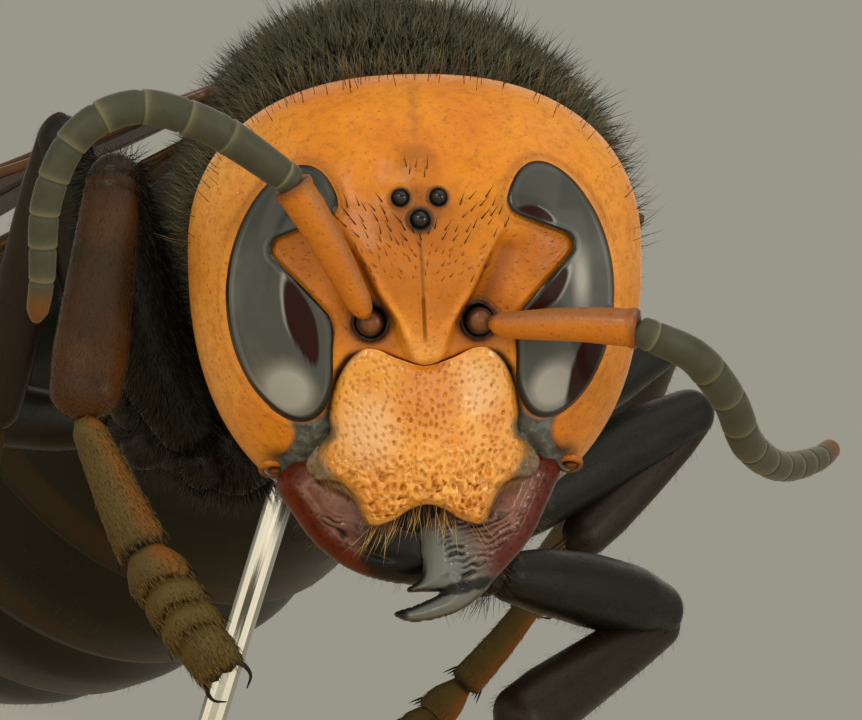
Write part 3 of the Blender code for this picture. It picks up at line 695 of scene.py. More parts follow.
def face_relief(x, z):
    """Height of the face's own forms above its smooth dome, and the marks that its finish reads."""
    ax = np.abs(x)
    flat = np.stack([x, np.zeros_like(x), z], -1)
    height = np.zeros_like(x)
    # Frontal shield: raised V with sharp sides, ending in a rounded nose over the clypeus
    inside = (profile(SHIELD_EDGE, z) - ax) * 0.86
    fade = 1.0 - smooth(0.7, 2.0, z)
    plate = smooth(-0.16, 0.05, inside) * fade * smooth(-1.36, -1.12, z)
    height += 0.26 * plate + 0.1 * plate * bump_at(z + 1.0, 0.5)
    height += 0.06 * bump_at(inside - 0.06, 0.06) * smooth(-1.0, -0.5, z) * (1 - smooth(0.9, 1.5, z))
    # Median line, cut deeper low down
    middle = x + 0.03 + 0.03 * np.clip(z + 0.6, 0, 2)
    line_end = smooth(-0.85, -0.7, z) * (1 - smooth(0.05, 0.15, z))
    height -= 0.05 * bump_at(middle, 0.026) * line_end
    height -= 0.012 * bump_at(middle, 0.03) * smooth(0.1, 0.2, z) * (1 - smooth(1.2, 1.4, z))
    height += 0.025 * bump_at(np.abs(middle) - 0.06, 0.03) * line_end
    # Antennal sockets in their hollows
    socket = np.hypot(ax - SOCKET[0], z - SOCKET[1])
    hollow = bump_at(socket, 0.62) * (1 - 0.75 * plate)
    height -= 0.24 * hollow
    height += 0.13 * bump_at(socket - 0.35, 0.055) * (1 + 0.2 * cloud(flat, 0.12, 10))
    height -= 0.28 * smooth(0.3, 0.22, socket)
    # Trough beside the shield's ridge
    trough = np.clip(((ax - 1.25) * 0.5 + z) / 1.25, 0, 1)
    gap = np.hypot(ax - 1.25 - 0.5 * trough, z - trough)
    height -= 0.2 * bump_at(gap, 0.3) * (1 - plate)
    # Eye pocket with a fine raised lip
    eye = eye_distance(x, z)
    height += 0.03 * bump_at(eye - 0.09, 0.05)
    height -= 0.42 * smooth(-0.02, -0.16, eye)
    # Clypeus pocket
    clypeus = outline_distance(x, z, clypeus_rim(160))
    under = smooth(0.06, -0.12, clypeus) * smooth(-0.95, -1.15, z)
    under = under * (1 - 0.8 * smooth(1.85, 2.05, ax) * smooth(-3.5, -3.3, z))
    side_groove = bump_at(clypeus - 0.02, 0.09) * smooth(-1.0, -1.25, z)
    height -= 0.38 * under + 0.1 * side_groove * smooth(1.1, 1.35, ax)
    # Bare skin between eye, clypeus and jaw
    gena = profile(((-3.75, 3.6), (-3.45, 3.3), (-3.25, 3.02), (-3.05, 2.8), (-2.85, 2.68), (-2.65, 2.64),
                    (-2.45, 2.7), (-2.3, 2.84), (-2.15, 3.1)), z)
    skin = smooth(0.07, -0.05, ax - gena) * smooth(-2.0, -2.35, z)
    skin = np.maximum(skin, smooth(0.2, 0.1, eye) * smooth(0.2, 0.08, clypeus) * smooth(-1.2, -1.5, z))
    height -= 0.09 * skin * (1 + 0.5 * cloud(flat * (1.0, 1.0, 0.5), 0.2, 14))
    # Jaw hinge: a small ringed knob at the foot of the cheek
    hinge = np.hypot((ax - 3.12) / 0.3, (z + 3.42) / 0.24)
    height += 0.05 * bump_at(hinge - 0.85, 0.22)
    # Simple eyes: dark seats, three little cups
    seat = np.zeros_like(x)
    for place_x, place_z, radius in OCELLI:
        away = np.hypot(x - place_x, z - place_z)
        height += 0.05 * bump_at(away - radius - 0.04, 0.05) - 0.05 * smooth(radius, radius - 0.06, away)
        border = 0.16 if place_x > -0.2 and place_z < 2 else 0.1
        seat = np.maximum(seat, smooth(radius + border, radius, away))
    # Crown: low boss behind the simple eyes, with a shallow hollow on each side
    boss = np.hypot((x + 0.08) / 0.46, (z - 2.72) / 0.5)
    height += 0.07 * bump_at(boss, 0.9) - 0.06 * bump_at(np.hypot(ax - 0.95, z - 2.5), 0.4)
    height -= 0.02 * bump_at(x, 0.09) * smooth(2.9, 3.4, z)
    height += 0.012 * cloud(flat, 0.7, 5) + 0.004 * cloud(flat, 0.2, 6)

    # Amber: painted shade over the middle of the face and in the trough beside the shield's ridge, along with the
    # cuticle's own amber at the eye notches and sockets; a thin painted highlight just inside the shield's edge
    # takes some away
    shade = smooth(1.15, 0.5, np.hypot(ax / 2.0, (z - 0.9) / 1.9))
    amber = 0.62 * shade + 0.3 * smooth(1.0, 0.6, np.hypot(ax, (z - 1.7) / 0.8))
    amber = amber * (0.9 + 0.2 * cloud(flat, 0.5, 8))
    amber = np.maximum(amber, 0.75 * smooth(1.1, 0.3, np.hypot((ax - 2.4) / 0.9, (z - 0.95) / 0.85)))
    amber = np.maximum(amber, bump_at(gap, 0.3) * (1 - plate))
    amber = np.maximum(amber, 0.8 * smooth(1.1, 0.4, socket) * (1 - 0.8 * plate))
    amber = amber - 0.5 * bump_at(inside - 0.1, 0.08) * smooth(-0.9, -0.4, z) * smooth(0.6, 0.0, z)
    # Stain and shade: painted shade in the trough beside the ridge and along the eyes' upper margins, with brown
    # tints on the crown and elsewhere
    stain_and_shade = 0.22 * bump_at(gap, 0.16) * (1 - plate)
    stain_and_shade = np.maximum(stain_and_shade, 0.4 * smooth(1.2, 0.7, boss) * (0.4 + 0.6 * smooth(2.5, 3.1, z)))
    stain_and_shade = np.maximum(stain_and_shade, 0.3 * bump_at(x + 0.1, 0.11) * smooth(3.0, 3.4, z) * smooth(4.6, 4.2, z))
    stain_and_shade = np.maximum(stain_and_shade, 0.45 * smooth(1.1, 0.5, np.hypot((x + 0.07) / 0.75, (z - 1.95) / 0.5)))
    stain_and_shade = np.maximum(stain_and_shade, 0.6 * bump_at(middle, 0.035) * smooth(-0.9, -0.6, z) * smooth(1.45, 1.2, z))
    stain_and_shade = np.maximum(stain_and_shade, 0.75 * bump_at(inside + 0.07, 0.06) * smooth(-0.5, -0.2, z) * smooth(1.1, 0.7, z))
    stain_and_shade = np.maximum(stain_and_shade, 0.35 * bump_at(eye - 0.1, 0.09) * smooth(1.0, 2.0, z))
    stain_and_shade = np.maximum(stain_and_shade, smooth(0.56, 0.4, socket))
    black = np.maximum(seat, 0.95 * smooth(0.43, 0.37, socket + 0.03 * cloud(flat, 0.07, 16)))
    black = np.maximum(black, 0.9 * bump_at(clypeus - 0.06, 0.07) * smooth(1.15, 1.3, ax) * smooth(-2.6, -2.3, z)
                       * smooth(-0.9, -1.1, z))
    black = np.maximum(black, 0.85 * bump_at(np.hypot(ax - 2.95, (z + 3.12) * 1.6), 0.28) * smooth(2.6, 2.9, ax))
    black = np.maximum(black, 0.8 * bump_at(hinge - 0.45, 0.18))
    # Pale: a painted highlight on the sides of the head, its upper corners and the shield's nose
    pale = (0.65 - 0.25 * (x > 0)) * smooth(2.9, 4.0, ax)
    pale = pale + 0.5 * bump_at(np.hypot((ax - 3.4) / 1.1, (z - 3.1) / 0.9), 1.0)
    pale = np.maximum(pale, 0.9 * bump_at(np.hypot((ax - 0.1) / 0.32, (z + 0.95) / 0.34), 1.0))
    pale = np.clip(pale * (0.8 + 0.4 * cloud(flat, 0.9, 9)), 0, 1)
    marks = {"amber": np.clip(amber, 0, 1), "stain_and_shade": np.clip(stain_and_shade, 0, 1), "black": np.clip(black, 0, 1),
             "skin": np.clip(skin * smooth(0.0, 0.08, eye), 0, 1), "pale": pale}
    return height, marks


# Bare patches on each eye, where the painted reflection is left out: middle, half width, half height, turn
EYE_PATCHES = {
    -1: ((2.5, -0.38, 0.27, 0.9, -0.3),),
    1: ((2.28, 1.72, 0.38, 0.17, -0.35), (2.5, 0.17, 0.25, 0.6, -0.75), (3.42, -1.2, 0.3, 1.1, -0.42)),
}
OCELLI = ((-0.075, 1.65, 0.2), (0.31, 2.1, 0.17), (-0.46, 2.1, 0.17))


def make_head(finish):
    """Head capsule: rings from the middle of the face out to its rim and back to the nape."""
    sides = 540
    turn = np.linspace(0, 2 * pi, sides, endpoint=False)
    near = np.zeros(sides)
    far = np.full(sides, 8.0)
    for _ in range(30):
        middle = 0.5 * (near + far)
        within = head_reach(middle * np.cos(turn), middle * np.sin(turn) + HEAD_MID_Z) < 1
        near = np.where(within, middle, near)
        far = np.where(within, far, middle)
    t = np.linspace(0.008, 1, 130)
    front = 0.6 * t + 0.4 * np.sin(pi / 2 * t)
    back = np.sqrt(1 - np.linspace(0.04, 0.99, 26) ** 2)
    share = np.concatenate([front, back])[:, None]
    x = share * near * np.cos(turn)
    z = share * near * np.sin(turn) + HEAD_MID_Z
    reach = np.clip(head_reach(x, z), 0, 1)
    is_front = (np.arange(len(share)) < len(front))[:, None]
    y = np.where(is_front, face_y(x, z), NAPE_DEPTH * (1 - reach ** 3) ** 0.5)
    y = np.where(is_front, y, y - 0.7 * bump_at(np.hypot(x, z - 0.3), 1.7))
    grid = np.stack([x, y, z], -1)
    around = np.roll(grid, -1, axis=1) - np.roll(grid, 1, axis=1)
    along = np.gradient(grid, axis=0)
    normal = np.cross(around, along)
    normal /= np.linalg.norm(normal, axis=-1)[..., None] + 1e-12
    centre = np.array([0.0, 0.0, HEAD_MID_Z])
    normal *= np.where((normal * (grid - centre)).sum(-1) < 0, -1, 1)[..., None]
    height, marks = face_relief(x.ravel(), z.ravel())
    weight = np.where(is_front, smooth(1.0, 0.93, reach), 0.0).ravel()
    points = grid.reshape(-1, 3) + normal.reshape(-1, 3) * (height * weight)[:, None]
    poles = np.array([[0, points[:sides, 1].mean(), HEAD_MID_Z], [0, points[-sides:, 1].mean(), HEAD_MID_Z]])
    points = np.vstack([points, poles])
    front_only = is_front * np.ones_like(x)
    marks = {k: np.concatenate([v * front_only.ravel(), [0, 0]]) for k, v in marks.items()}
    rear = np.concatenate([((1 - front_only) * smooth(2.6, 1.4, np.hypot(x, z))).ravel(), [0, 1]])
    marks["black"] = np.maximum(marks["black"], rear)
    marks.update(head_hair_marks(points[:, 0], points[:, 2], points[:, 1]))
    marks["skin_uv"] = np.stack([points[:, 0] / 20 + 0.25 + 0.5 * (points[:, 1] > 0), points[:, 2] / 20 + 0.5,
                                 np.zeros(len(points))], -1)
    marks["lay"] = swung(marks["lay"])
    return make_piece("head_capsule", to_world(points), ring_faces(len(share), sides), finish, marks)


def head_hair_marks(x, z, y):
    """Where each kind of hair grows on the head, and which way it leans."""
    ax = np.abs(x)
    front = y < 0
    reach = head_reach(x, z)
    bare = smooth(0.06, 0.14, eye_distance(x, z))
    frons = smooth(0.3, 0.45, z) * smooth(2.15, 2.0, z) * front * bare
    frons = frons * smooth(0.16, 0.0, ax - profile(SHIELD_EDGE, z))
    frons = frons * (1 - smooth(1.6, 1.75, z) * smooth(0.75, 0.6, ax))
    for place_x, place_z, radius in OCELLI:
        frons = frons * smooth(radius + 0.05, radius + 0.12, np.hypot(x - place_x, z - place_z))
    frons = np.maximum(frons, smooth(0.34, 0.3, np.hypot(x + 0.08, z - 2.55)) * front)
    brow = frons * (z < 1.15)
    frons = frons - brow
    crown = smooth(0.9, 0.96, reach) * smooth(0.6, 2.2, z) * (y < 1.2)
    down = bump_at(np.hypot(ax - 2.62, z - 1.05), 0.5) * bare * front
    sprout = np.hypot(ax - SOCKET[0], z - SOCKET[1])
    down = np.maximum(down, bump_at(sprout - 0.42, 0.07) * front)
    cheek = smooth(3.2, 3.6, ax) * smooth(1.5, 0.5, z) * smooth(-3.6, -3.0, z) * front * bare
    lay = np.stack([0.6 * x / 4.6, np.full_like(x, -0.15), np.ones_like(x)], -1)
    slant = np.where(front & (z < 2.2) & (ax < 2.0), 1.0, 0.0)[:, None]
    lay = lay * (1 - slant) + slant * np.stack([0.55 * np.tanh(x / 0.35), -0.25 + 0 * x, 0.85 + 0 * x], -1)
    inward = np.where(down > 0.05, 1.0, 0.0)[:, None] * (sprout > 0.8)[:, None]
    lay = lay * (1 - inward) + inward * np.stack([-np.sign(x), -0.15 + 0 * x, -0.1 + 0 * x], -1)
    lay /= np.linalg.norm(lay, axis=1)[:, None] + 1e-9
    return {"frons": frons, "brow": brow, "crown": crown, "down": down, "cheek": cheek, "lay": lay}


def make_eye(side, finish):
    """Compound eye: a smooth bulging lens sunk in its pocket, with its painted reflection and its bare patches.
    """
    rim = eye_rim(270)
    shares = np.concatenate([np.sin(np.linspace(0.02, pi / 2, 80)), [1.0, 1.0]])[:, None]
    x = EYE_HEART[0] + shares * rim[:, 0]
    z = EYE_HEART[1] + shares * rim[:, 1]
    inner = np.clip(-eye_distance(x, z), 0, None)
    rise = z - EYE_MID_Z
    u, v, _ = eye_frame(x, z)
    bulge = np.clip(1 - u * u - v * v, 0, 1) ** 0.8
    y = face_y(x, z) - 0.03 - 0.26 * bulge + 0.03 * smooth(0.08, 0.0, inner) ** 2
    y[-2] += 0.16
    y[-1] += 0.4
    points = np.stack([side * x, y, z], -1).reshape(-1, 3)
    heart = np.array([[side * EYE_HEART[0], depth, EYE_HEART[1]] for depth in (y[0].mean(), -0.9)])
    # Painted reflection: grey over the lens, dimmer high up, with a painted highlight near the lower end and a
    # painted highlight streak on the left eye
    painted_reflection = 0.52 + 0.1 * smooth(-0.4, 0.9, u) - 0.16 * smooth(0.6, 2.4, rise)
    painted_reflection += 0.8 * bump_at(np.hypot((u + 0.05 * side - 0.05) / 0.36, (rise + 1.95) / 0.42), 1.0)
    painted_reflection += 0.4 * (side > 0) * bump_at(u - 0.38, 0.14) * bump_at(rise - 0.2, 0.6)
    patch = np.zeros_like(x)
    for place_x, place_z, half_x, half_z, tilt in EYE_PATCHES[side]:
        px = (x - place_x) * cos(tilt) + (z - place_z) * sin(tilt)
        pz = -(x - place_x) * sin(tilt) + (z - place_z) * cos(tilt)
        lens = (np.abs(px) / half_x) ** 1.6 + (np.abs(pz) / half_z) ** 1.6
        patch = np.maximum(patch, smooth(1.2, 0.92, lens))
        # A painted glint along the outer side of each patch
        painted_reflection += 0.3 * bump_at(lens - 1.2, 0.22) * (px > 0) * smooth(-0.6, 0.3, pz / half_z)
    edge = smooth(0.075 + 0.09 * smooth(-1.6, -2.3, rise), 0.035, inner)
    patch = patch * smooth(0.03, 0.1, inner)
    # The painted reflection gives way to dark pigment at the rim, with a thin painted highlight ring just inside
    # it
    painted_reflection = painted_reflection * (1 - edge) + 0.08 * bump_at(inner - 0.13, 0.03)
    marks = {k: np.concatenate([np.clip(w, 0, 1).ravel(), [w[0].mean(), 0]])
             for k, w in {"painted_reflection": painted_reflection, "patch": patch}.items()}
    name = "eye_lens_" + ("l" if side > 0 else "r")
    points = to_world(np.vstack([points, heart]))
    return make_piece(name, points, ring_faces(len(shares), len(rim)), finish, marks)


def make_ocelli(finish):
    """Three simple eyes: small clear domes on the crown."""
    parts = []
    for x, z, radius in OCELLI:
        y = face_y(np.array([x]), np.array([z]))[0] + 0.03
        height = np.sqrt(np.clip(radius ** 2 - np.linspace(-radius, radius, 16)[1:-1] ** 2, 0, None))
        line = np.array([(x, y + t, z) for t in np.linspace(-radius, radius, 16)[1:-1]])
        points, faces, _, _ = tube(line, height, 24, across=(0, 0, 1))
        parts.append((to_world(points), faces, {}))
    points, faces, _ = joined(parts)
    return make_piece("ocelli", points, faces, finish)


def make_clypeus(finish):
    """Face shield: crowned plate pressed full of pits that run together into wrinkles low down."""
    rim = clypeus_rim(560)
    heart = SHIELD_HEART
    t = np.linspace(0.008, 1, 150)
    shares = np.concatenate([0.75 * t + 0.25 * np.sin(pi / 2 * t), [1.0, 1.0]])[:, None]
    x = heart[0] + shares * (rim[:, 0] - heart[0])
    z = heart[1] + shares * (rim[:, 1] - heart[1])
    inner = -outline_distance(x[:-2].ravel(), z[:-2].ravel(), clypeus_rim(160)).reshape(x[:-2].shape)
    inner = np.vstack([inner, np.zeros((2, len(rim)))])
    face = face_y(x, z) - 0.08
    shield = -2.85 + 0.2 * x * x + 0.035 * (z + 1.9) ** 2
    blend = np.clip(0.5 + 0.5 * (face - shield) / 0.25, 0, 1)
    y = face + (shield - face) * blend - 0.125 * blend * (1 - blend)
    y = y + (0.2 - 0.14 * smooth(-1.7, -1.3, z)) * smooth(0.22, 0.0, inner) ** 2
    y = y + 0.34 * smooth(1.85, 2.25, np.abs(x)) * smooth(-3.6, -3.4, z)
    flat = np.stack([x.ravel(), 0 * x.ravel(), z.ravel()], -1)
    low = smooth(-2.7, -3.9, z)
    warp = np.stack([cloud(flat, 0.45, 21), 0 * x.ravel(), cloud(flat, 0.45, 22)], -1) * 0.07
    stretch = (flat + warp) * (1.0, 1.0, 0.72)
    pit = pits(stretch, PIT_SPACING, 31).reshape(x.shape)
    fine_pit = smooth(0.32, 0.08, pit)
    coarse_pit = smooth(0.45, 0.1, pits(stretch, LOW_PIT_SPACING, 32)).reshape(x.shape)
    fold = cloud((flat + warp) * (1.0, 1.0, 1.9), 0.24, 33)
    fold = fold + 0.5 * cloud((flat + warp) * (1.0, 1.0, 1.5), 0.1, 34)
    crease = (smooth(0.3, 0.0, np.abs(fold)) * smooth(-0.25, 0.35, cloud(flat, 0.25, 38))).reshape(x.shape)
    wrinkle = cloud(flat + warp, 0.1, 37).reshape(x.shape)
    keep = smooth(0.03, 0.14, inner)
    strength = 0.75 + 0.25 * cloud(flat, 0.6, 35).reshape(x.shape)
    y = y + keep * (0.045 * fine_pit * strength + 0.06 * coarse_pit * low + 0.06 * crease * low
                    - 0.035 * wrinkle * (0.1 + 0.9 * low))
    y[-2] += 0.12
    y[-1] = -1.5
    rows = y.shape[0]
    points = np.stack([x, y, z], -1).reshape(-1, 3)
    points = np.vstack([points, [[0, y[0].mean(), heart[1]], [0, -1.5, heart[1]]]])
    amber = smooth(1.05, 0.35, np.hypot((x - 0.02) / 0.95, (z + 1.85) / 1.05))
    # Pale: a painted highlight on each side of the plate
    pale = 0.75 * smooth(1.2, 0.2, np.hypot((x + 1.15) / 0.75, (z + 2.6) / 0.95))
    pale = np.maximum(pale, 0.75 * smooth(1.2, 0.2, np.hypot((x - 1.05) / 0.7, (z + 1.75) / 0.7)))
    side_lobe = np.abs(x) - 1.66 + 0.25 * smooth(-3.0, -3.6, z) - 0.3 * smooth(-2.75, -2.95, z)
    side_lobe = side_lobe + 0.06 * cloud(flat, 0.2, 36).reshape(x.shape)
    skin = 0.9 * smooth(-0.02, 0.3, side_lobe) * smooth(-2.3, -2.55, z)
    black = 0.75 * smooth(0.07, 0.0, inner) * smooth(1.2, 1.35, np.abs(x)) * smooth(-2.9, -2.6, z)
    black = np.maximum(black, 0.7 * smooth(0.05, 0.0, inner) * smooth(-3.5, -3.6, z))
    # Pit mark: the pits and creases painted darker as shade
    pit_mark = np.clip(0.5 * fine_pit * strength + (0.4 * coarse_pit + 0.45 * crease) * low, 0, 1)
    fringe = smooth(0.16, 0.05, inner) * smooth(1.2, 1.0, np.abs(x)) * smooth(-3.7, -4.0, z)
    comb = smooth(0.13, 0.04, inner) * smooth(1.2, 1.3, np.abs(x)) * smooth(2.2, 2.1, np.abs(x)) * (z < -3.55)
    marks = {"amber": amber, "pale": pale, "skin": skin, "black": black, "pit": pit_mark, "fringe": fringe,
             "comb": comb, "rough": 0.3 + 1.7 * low}
    marks = {k: np.concatenate([np.clip(v, 0, 1).ravel(), [0, 0]]) for k, v in marks.items()}
    across = points[:, 0]
    fan = np.where(np.abs(across) > 1.25, -0.5 * np.sign(across), 0.65 * across)
    down = np.stack([fan, -0.4 + 0 * across, -1.0 + 0 * across], -1)
    down /= np.linalg.norm(down, axis=1)[:, None]
    marks["lay"] = swung(down)
    marks["skin_uv"] = np.stack([points[:, 0] / 5 + 0.5, points[:, 2] / 5 + 1.0, np.zeros(len(points))], -1)
    return make_piece("clypeus_plate", to_world(points), ring_faces(rows, len(rim)), finish, marks)


JAWS = {
    "l": ((2.45, -3.1), (2.86, -3.5), (2.71, -3.88), (2.49, -4.31), (2.21, -4.84), (1.84, -5.28), (1.48, -5.63),
          (1.12, -6.02), (0.66, -6.33), (0.09, -6.5), (-0.4, -6.52), (-0.66, -6.36), (-0.25, -6.22), (0.3, -5.97),
          (-0.02, -5.92), (-0.42, -5.91), (-0.12, -5.68), (-0.04, -5.41), (-0.07, -4.97), (-0.12, -4.58),
          (0.2, -4.1), (0.9, -3.5), (1.6, -3.1)),
    "r": ((-2.5, -3.15), (-2.85, -3.45), (-2.97, -3.79), (-2.82, -4.08), (-2.6, -4.4), (-2.37, -4.75),
          (-2.04, -5.1), (-1.57, -5.44), (-1.02, -5.67), (-0.36, -5.8), (0.1, -5.76), (0.4, -5.55),
          (0.42, -5.1), (0.4, -4.6), (0.2, -4.1), (-0.3, -3.7), (-1.4, -3.4), (-2.0, -3.1)),
}


def make_jaw(tag, finish):
    """Mandible: a broad, crowned blade with a groove along its outer edge, ending in teeth."""
    outline = closed_outline(JAWS[tag], 240)
    side = 1 if tag == "l" else -1

    def lie(x, z):
        """Middle depth: set back at the hinge, forward at the tip of the upper jaw."""
        down = np.clip((-3.4 - z) / 2.8, 0, 1)
        return -1.0 - (0.75 * down if side > 0 else -0.05 * down) + 0.12 * np.maximum(np.abs(x) - 1.5, 0) ** 2

    def carving(x, z, edge):
        """Slanting scratches on the crown, and bristle pits in the outer band."""
        flat = np.stack([x, 0 * x, z], -1)
        bend = 0.16 * cloud(flat, 0.45, 41) + 0.05 * cloud(flat, 0.15, 43)
        lines = np.sin((z * 0.95 - x * 0.42 * side + bend) * 50) * 0.5 + 0.5
        lines = smooth(0.4, 0.85, lines) * smooth(-0.7, 0.1, cloud(flat, 0.3, 44) + 0.2)
        scored = lines * smooth(0.25, 0.5, edge) * smooth(-4.2, -4.7, z + 0.3 * cloud(flat, 0.5, 45))
        if side < 0:
            scored = scored * smooth(-1.1, -1.6, x)
        dots = smooth(0.2, 0.08, pits(flat, BRISTLE_PIT_SPACING, 42))
        dots = dots * smooth(0.04, 0.12, edge) * smooth(0.6, 0.4, edge) * smooth(0.9, 1.4, side * x)
        upper = smooth(0.24, 0.08, pits(flat * (1.0, 1.0, 0.6), JAW_PIT_SPACING, 46))
        upper = upper * smooth(-4.5, -3.9, z) * smooth(0.45, 0.6, edge)
        return scored, np.maximum(dots, 0.7 * upper)

    def field(points):
        """Negative inside the blade."""
        x, y, z = points.T
        edge = -outline_distance(x, z, outline)
        plump = 0.52 * np.sqrt(np.clip(1 - (1 - np.clip(edge / 0.7, 0, 1)) ** 2, 0, 1))
        outer = (side * x > 0) * smooth(0.3, 0.9, side * x)
        groove = 0.09 * bump_at(edge - 0.5, 0.09) * outer
        scored, dots = carving(x, z, edge)
        front = lie(x, z) - plump + groove + 0.045 * scored + 0.03 * dots
        rear = lie(x, z) + 0.8 * plump
        shape = np.maximum(front - y, y - rear)
        return np.where(edge <= 0, np.maximum(shape, -edge * 0.7 + 0.004), shape)

    low = outline.min(0)
    high = outline.max(0)
    points, faces = surface_net(field, (low[0] - 0.1, -2.6, low[1] - 0.1),
                                (high[0] + 0.1, 0.2, high[1] + 0.1), JAW_CELL)
    x, y, z = points.T
    edge = -outline_distance(x, z, outline)
    scored, dots = carving(x, z, edge)
    outer = smooth(0.55, 1.2, side * x)
    band = smooth(0.5, 0.3, edge) * outer
    if side > 0:
        tip = 0.9 * smooth(0.1, 0.03, edge) * smooth(-5.2, -5.6, z) * smooth(1.5, 1.0, x)
        dark = np.hypot((x - 0.75 + 0.19 * (z + 5.83)) / 0.72, (z + 5.83 - 0.19 * (x - 0.75)) / 0.13)
        dark = dark + 0.2 * cloud(np.stack([x, 0 * x, z], -1), 0.12, 47)
        tip = np.maximum(tip, 0.95 * smooth(1.25, 0.8, dark))
        tip = np.maximum(tip, 0.95 * smooth(0.3, 0.15, np.hypot(x + 0.62, z + 6.36)))
        tip = np.maximum(tip, 0.5 * smooth(1.1, 0.9, x) * smooth(0.1, 0.6, x) * smooth(-4.0, -4.3, z) * scored)
        # A painted grey highlight over the inner, lower part of the blade
        grey = smooth(1.5, 0.5, x + 0.3 * (z + 5.0)) * smooth(-4.2, -4.8, z)
    else:
        # Black over the inner end of the blade: a painted shadow
        tip = smooth(-1.5, -1.0, x + 0.3 * (z + 5.4) + 0.15 * cloud(np.stack([x, 0 * x, z], -1), 0.25, 48))
        tip = tip * smooth(-4.3, -4.8, z)
        grey = 0 * x
    # Pit: the scored lines and bristle pits, painted dark as shade
    marks = {"tip": np.clip(tip, 0, 1), "edge": band, "pit": np.clip(np.maximum(0.9 * scored, 0.6 * dots), 0, 1),
             "grey": grey, "fringe": smooth(0.14, 0.05, edge) * (side * x > 0.3) * (z < -3.9),
             "skin_uv": np.stack([x / 8 + 0.5, z / 8 + 1.0, 0 * x], -1)}
    away = np.stack([0.5 * side + 0 * x, -0.2 + 0 * x, -0.8 + 0 * x], -1)
    marks["lay"] = swung(away)
    return make_piece("jaw_" + tag, to_world(points), faces, finish, marks)


def make_hinges(finish):
    """Jaw hinges: an orange knob held in a brown hollow ring at the foot of each cheek."""
    parts = []
    for side in (-1, 1):
        middle = np.array([side * 3.05, -0.8, -3.42])
        turn = np.linspace(0, 2 * pi, 40)
        loop = middle + np.stack([0.23 * np.cos(turn), 0.08 * np.cos(turn * 2), 0.15 * np.sin(turn)], -1)
        girth = 0.05 + 0.03 * np.cos(turn - pi / 2 + side * 0.4)
        points, faces, _, _ = tube(loop, girth, 14, across=(0, 1, 0))
        high = smooth(-0.1, 0.12, points[:, 2] - middle[2])
        parts.append((to_world(points), faces, {"amber": 0.6, "stain_and_shade": 0.95 - 0.8 * high, "skin": 0.0,
                                                "pale": 0.0, "black": 0.4 - 0.4 * high}))
        steps = np.linspace(-0.97, 0.97, 14)
        knob = middle + np.array([0.05, 0.12, -0.02]) + np.array([1.0, 0, 0]) * steps[:, None] * 0.15
        points, faces, _, _ = tube(knob, 0.1 * np.sqrt(1 - steps ** 2), 20, across=(0, 1, 0))
        parts.append((to_world(points), faces,
                      {"amber": 1.0, "stain_and_shade": 0.8, "skin": 0.0, "pale": 0.0, "black": 0.15}))
    points, faces, marks = joined(parts)
    return make_piece("jaw_hinges", points, faces, finish, marks)


def make_labrum(finish):
    """Lip under the face shield: a dark plate that fills the gap over the jaws."""
    steps = np.linspace(-0.98, 0.98, 40)
    line = np.stack([1.35 * steps, -1.15 - 0.25 * (1 - steps ** 2), -4.15 + 0 * steps], -1)
    points, faces, along, _ = tube(line, 0.62 * np.sqrt(1 - steps ** 2), 28, across=(0, 1, 0), flatness=0.45)
    marks = {"warm": 0 * along, "band": 0 * along}
    return make_piece("labrum", to_world(points), faces, finish, marks)


SCAPES = {
    "r": ((-1.2, -2.98, -0.28), (-1.45, -3.2, 0.2), (-2.05, -3.55, 1.35), (-2.72, -3.85, 2.42)),
    "l": ((1.3, -2.98, -0.44), (1.75, -3.15, -0.5), (3.0, -3.5, -0.5), (4.25, -3.85, -0.6)),
}
WHIPS = {
    "r": ((-2.66, -3.86, 2.44), (-2.95, -4.0, 2.66), (-4.32, -4.6, 3.57), (-5.8, -4.9, 4.01), (-7.0, -5.0, 3.47),
          (-7.64, -4.8, 2.17), (-7.76, -4.4, 0.63), (-7.89, -4.1, -0.25)),
    "l": ((4.22, -3.87, -0.62), (4.5, -3.9, -0.76), (5.42, -3.5, -1.22), (6.19, -2.5, -2.11), (6.68, -1.4, -3.05),
          (7.49, 0.2, -3.57), (8.43, 1.9, -3.52), (8.96, 2.9, -3.27)),
}


def make_scape(tag, finish):
    """First length of the feeler: slim at its ball joint, open-rimmed at the elbow."""
    line = smooth_line(SCAPES[tag], 70)
    share = np.linspace(0, 1, 70)
    radii = profile(((0, 0.12), (0.04, 0.2), (0.12, 0.27), (0.4, 0.33), (0.85, 0.385), (0.93, 0.385),
                     (0.95, 0.42), (0.985, 0.42), (1, 0.36)), share)
    points, faces, along, turn = tube(line, radii, 40, across=(0, 1, 0.1), flatness=0.86)
    # One side of the scape is painted darker and greyer as shade
    shady = smooth(0.35, 0.95, np.cos(turn + (0.3 if tag == "l" else 2.9)))
    stain_and_shade = np.maximum(0.75 * smooth(0.93, 0.985, along), (0.5 if tag == "l" else 0.3) * shady)
    stain_and_shade = stain_and_shade + 0.5 * smooth(0.06, 0.0, along)
    parts = [(points, faces, {"amber": 0.55 - 0.2 * shady, "stain_and_shade": stain_and_shade, "skin": 0.25 * shady, "pale": 0.0,
                              "black": 0.6 * smooth(0.985, 1.0, along)})]
    # Ball joint in the socket
    side = -1 if tag == "r" else 1
    x = side * SOCKET[0]
    steps = np.linspace(-0.26, 0.26, 16)[1:-1]
    y = face_y(np.array([x]), np.array([SOCKET[1]]))[0] + 0.1
    ball, ball_faces, _, _ = tube(np.array([(x, y + t, SOCKET[1]) for t in steps]),
                                  np.sqrt(0.285 ** 2 - steps ** 2), 28, across=(0, 0, 1))
    edge = smooth(0.12, 0.25, np.hypot(ball[:, 0] - x, ball[:, 2] - SOCKET[1]))
    parts.append((ball, ball_faces, {"amber": 1.0, "stain_and_shade": 0.5 + 0.5 * edge, "skin": 0.12, "pale": 0.0,
                                     "black": 0.75 * edge}))
    points, faces, marks = joined(parts)
    return make_piece("scape_shell_" + tag, to_world(points), faces, finish, marks)


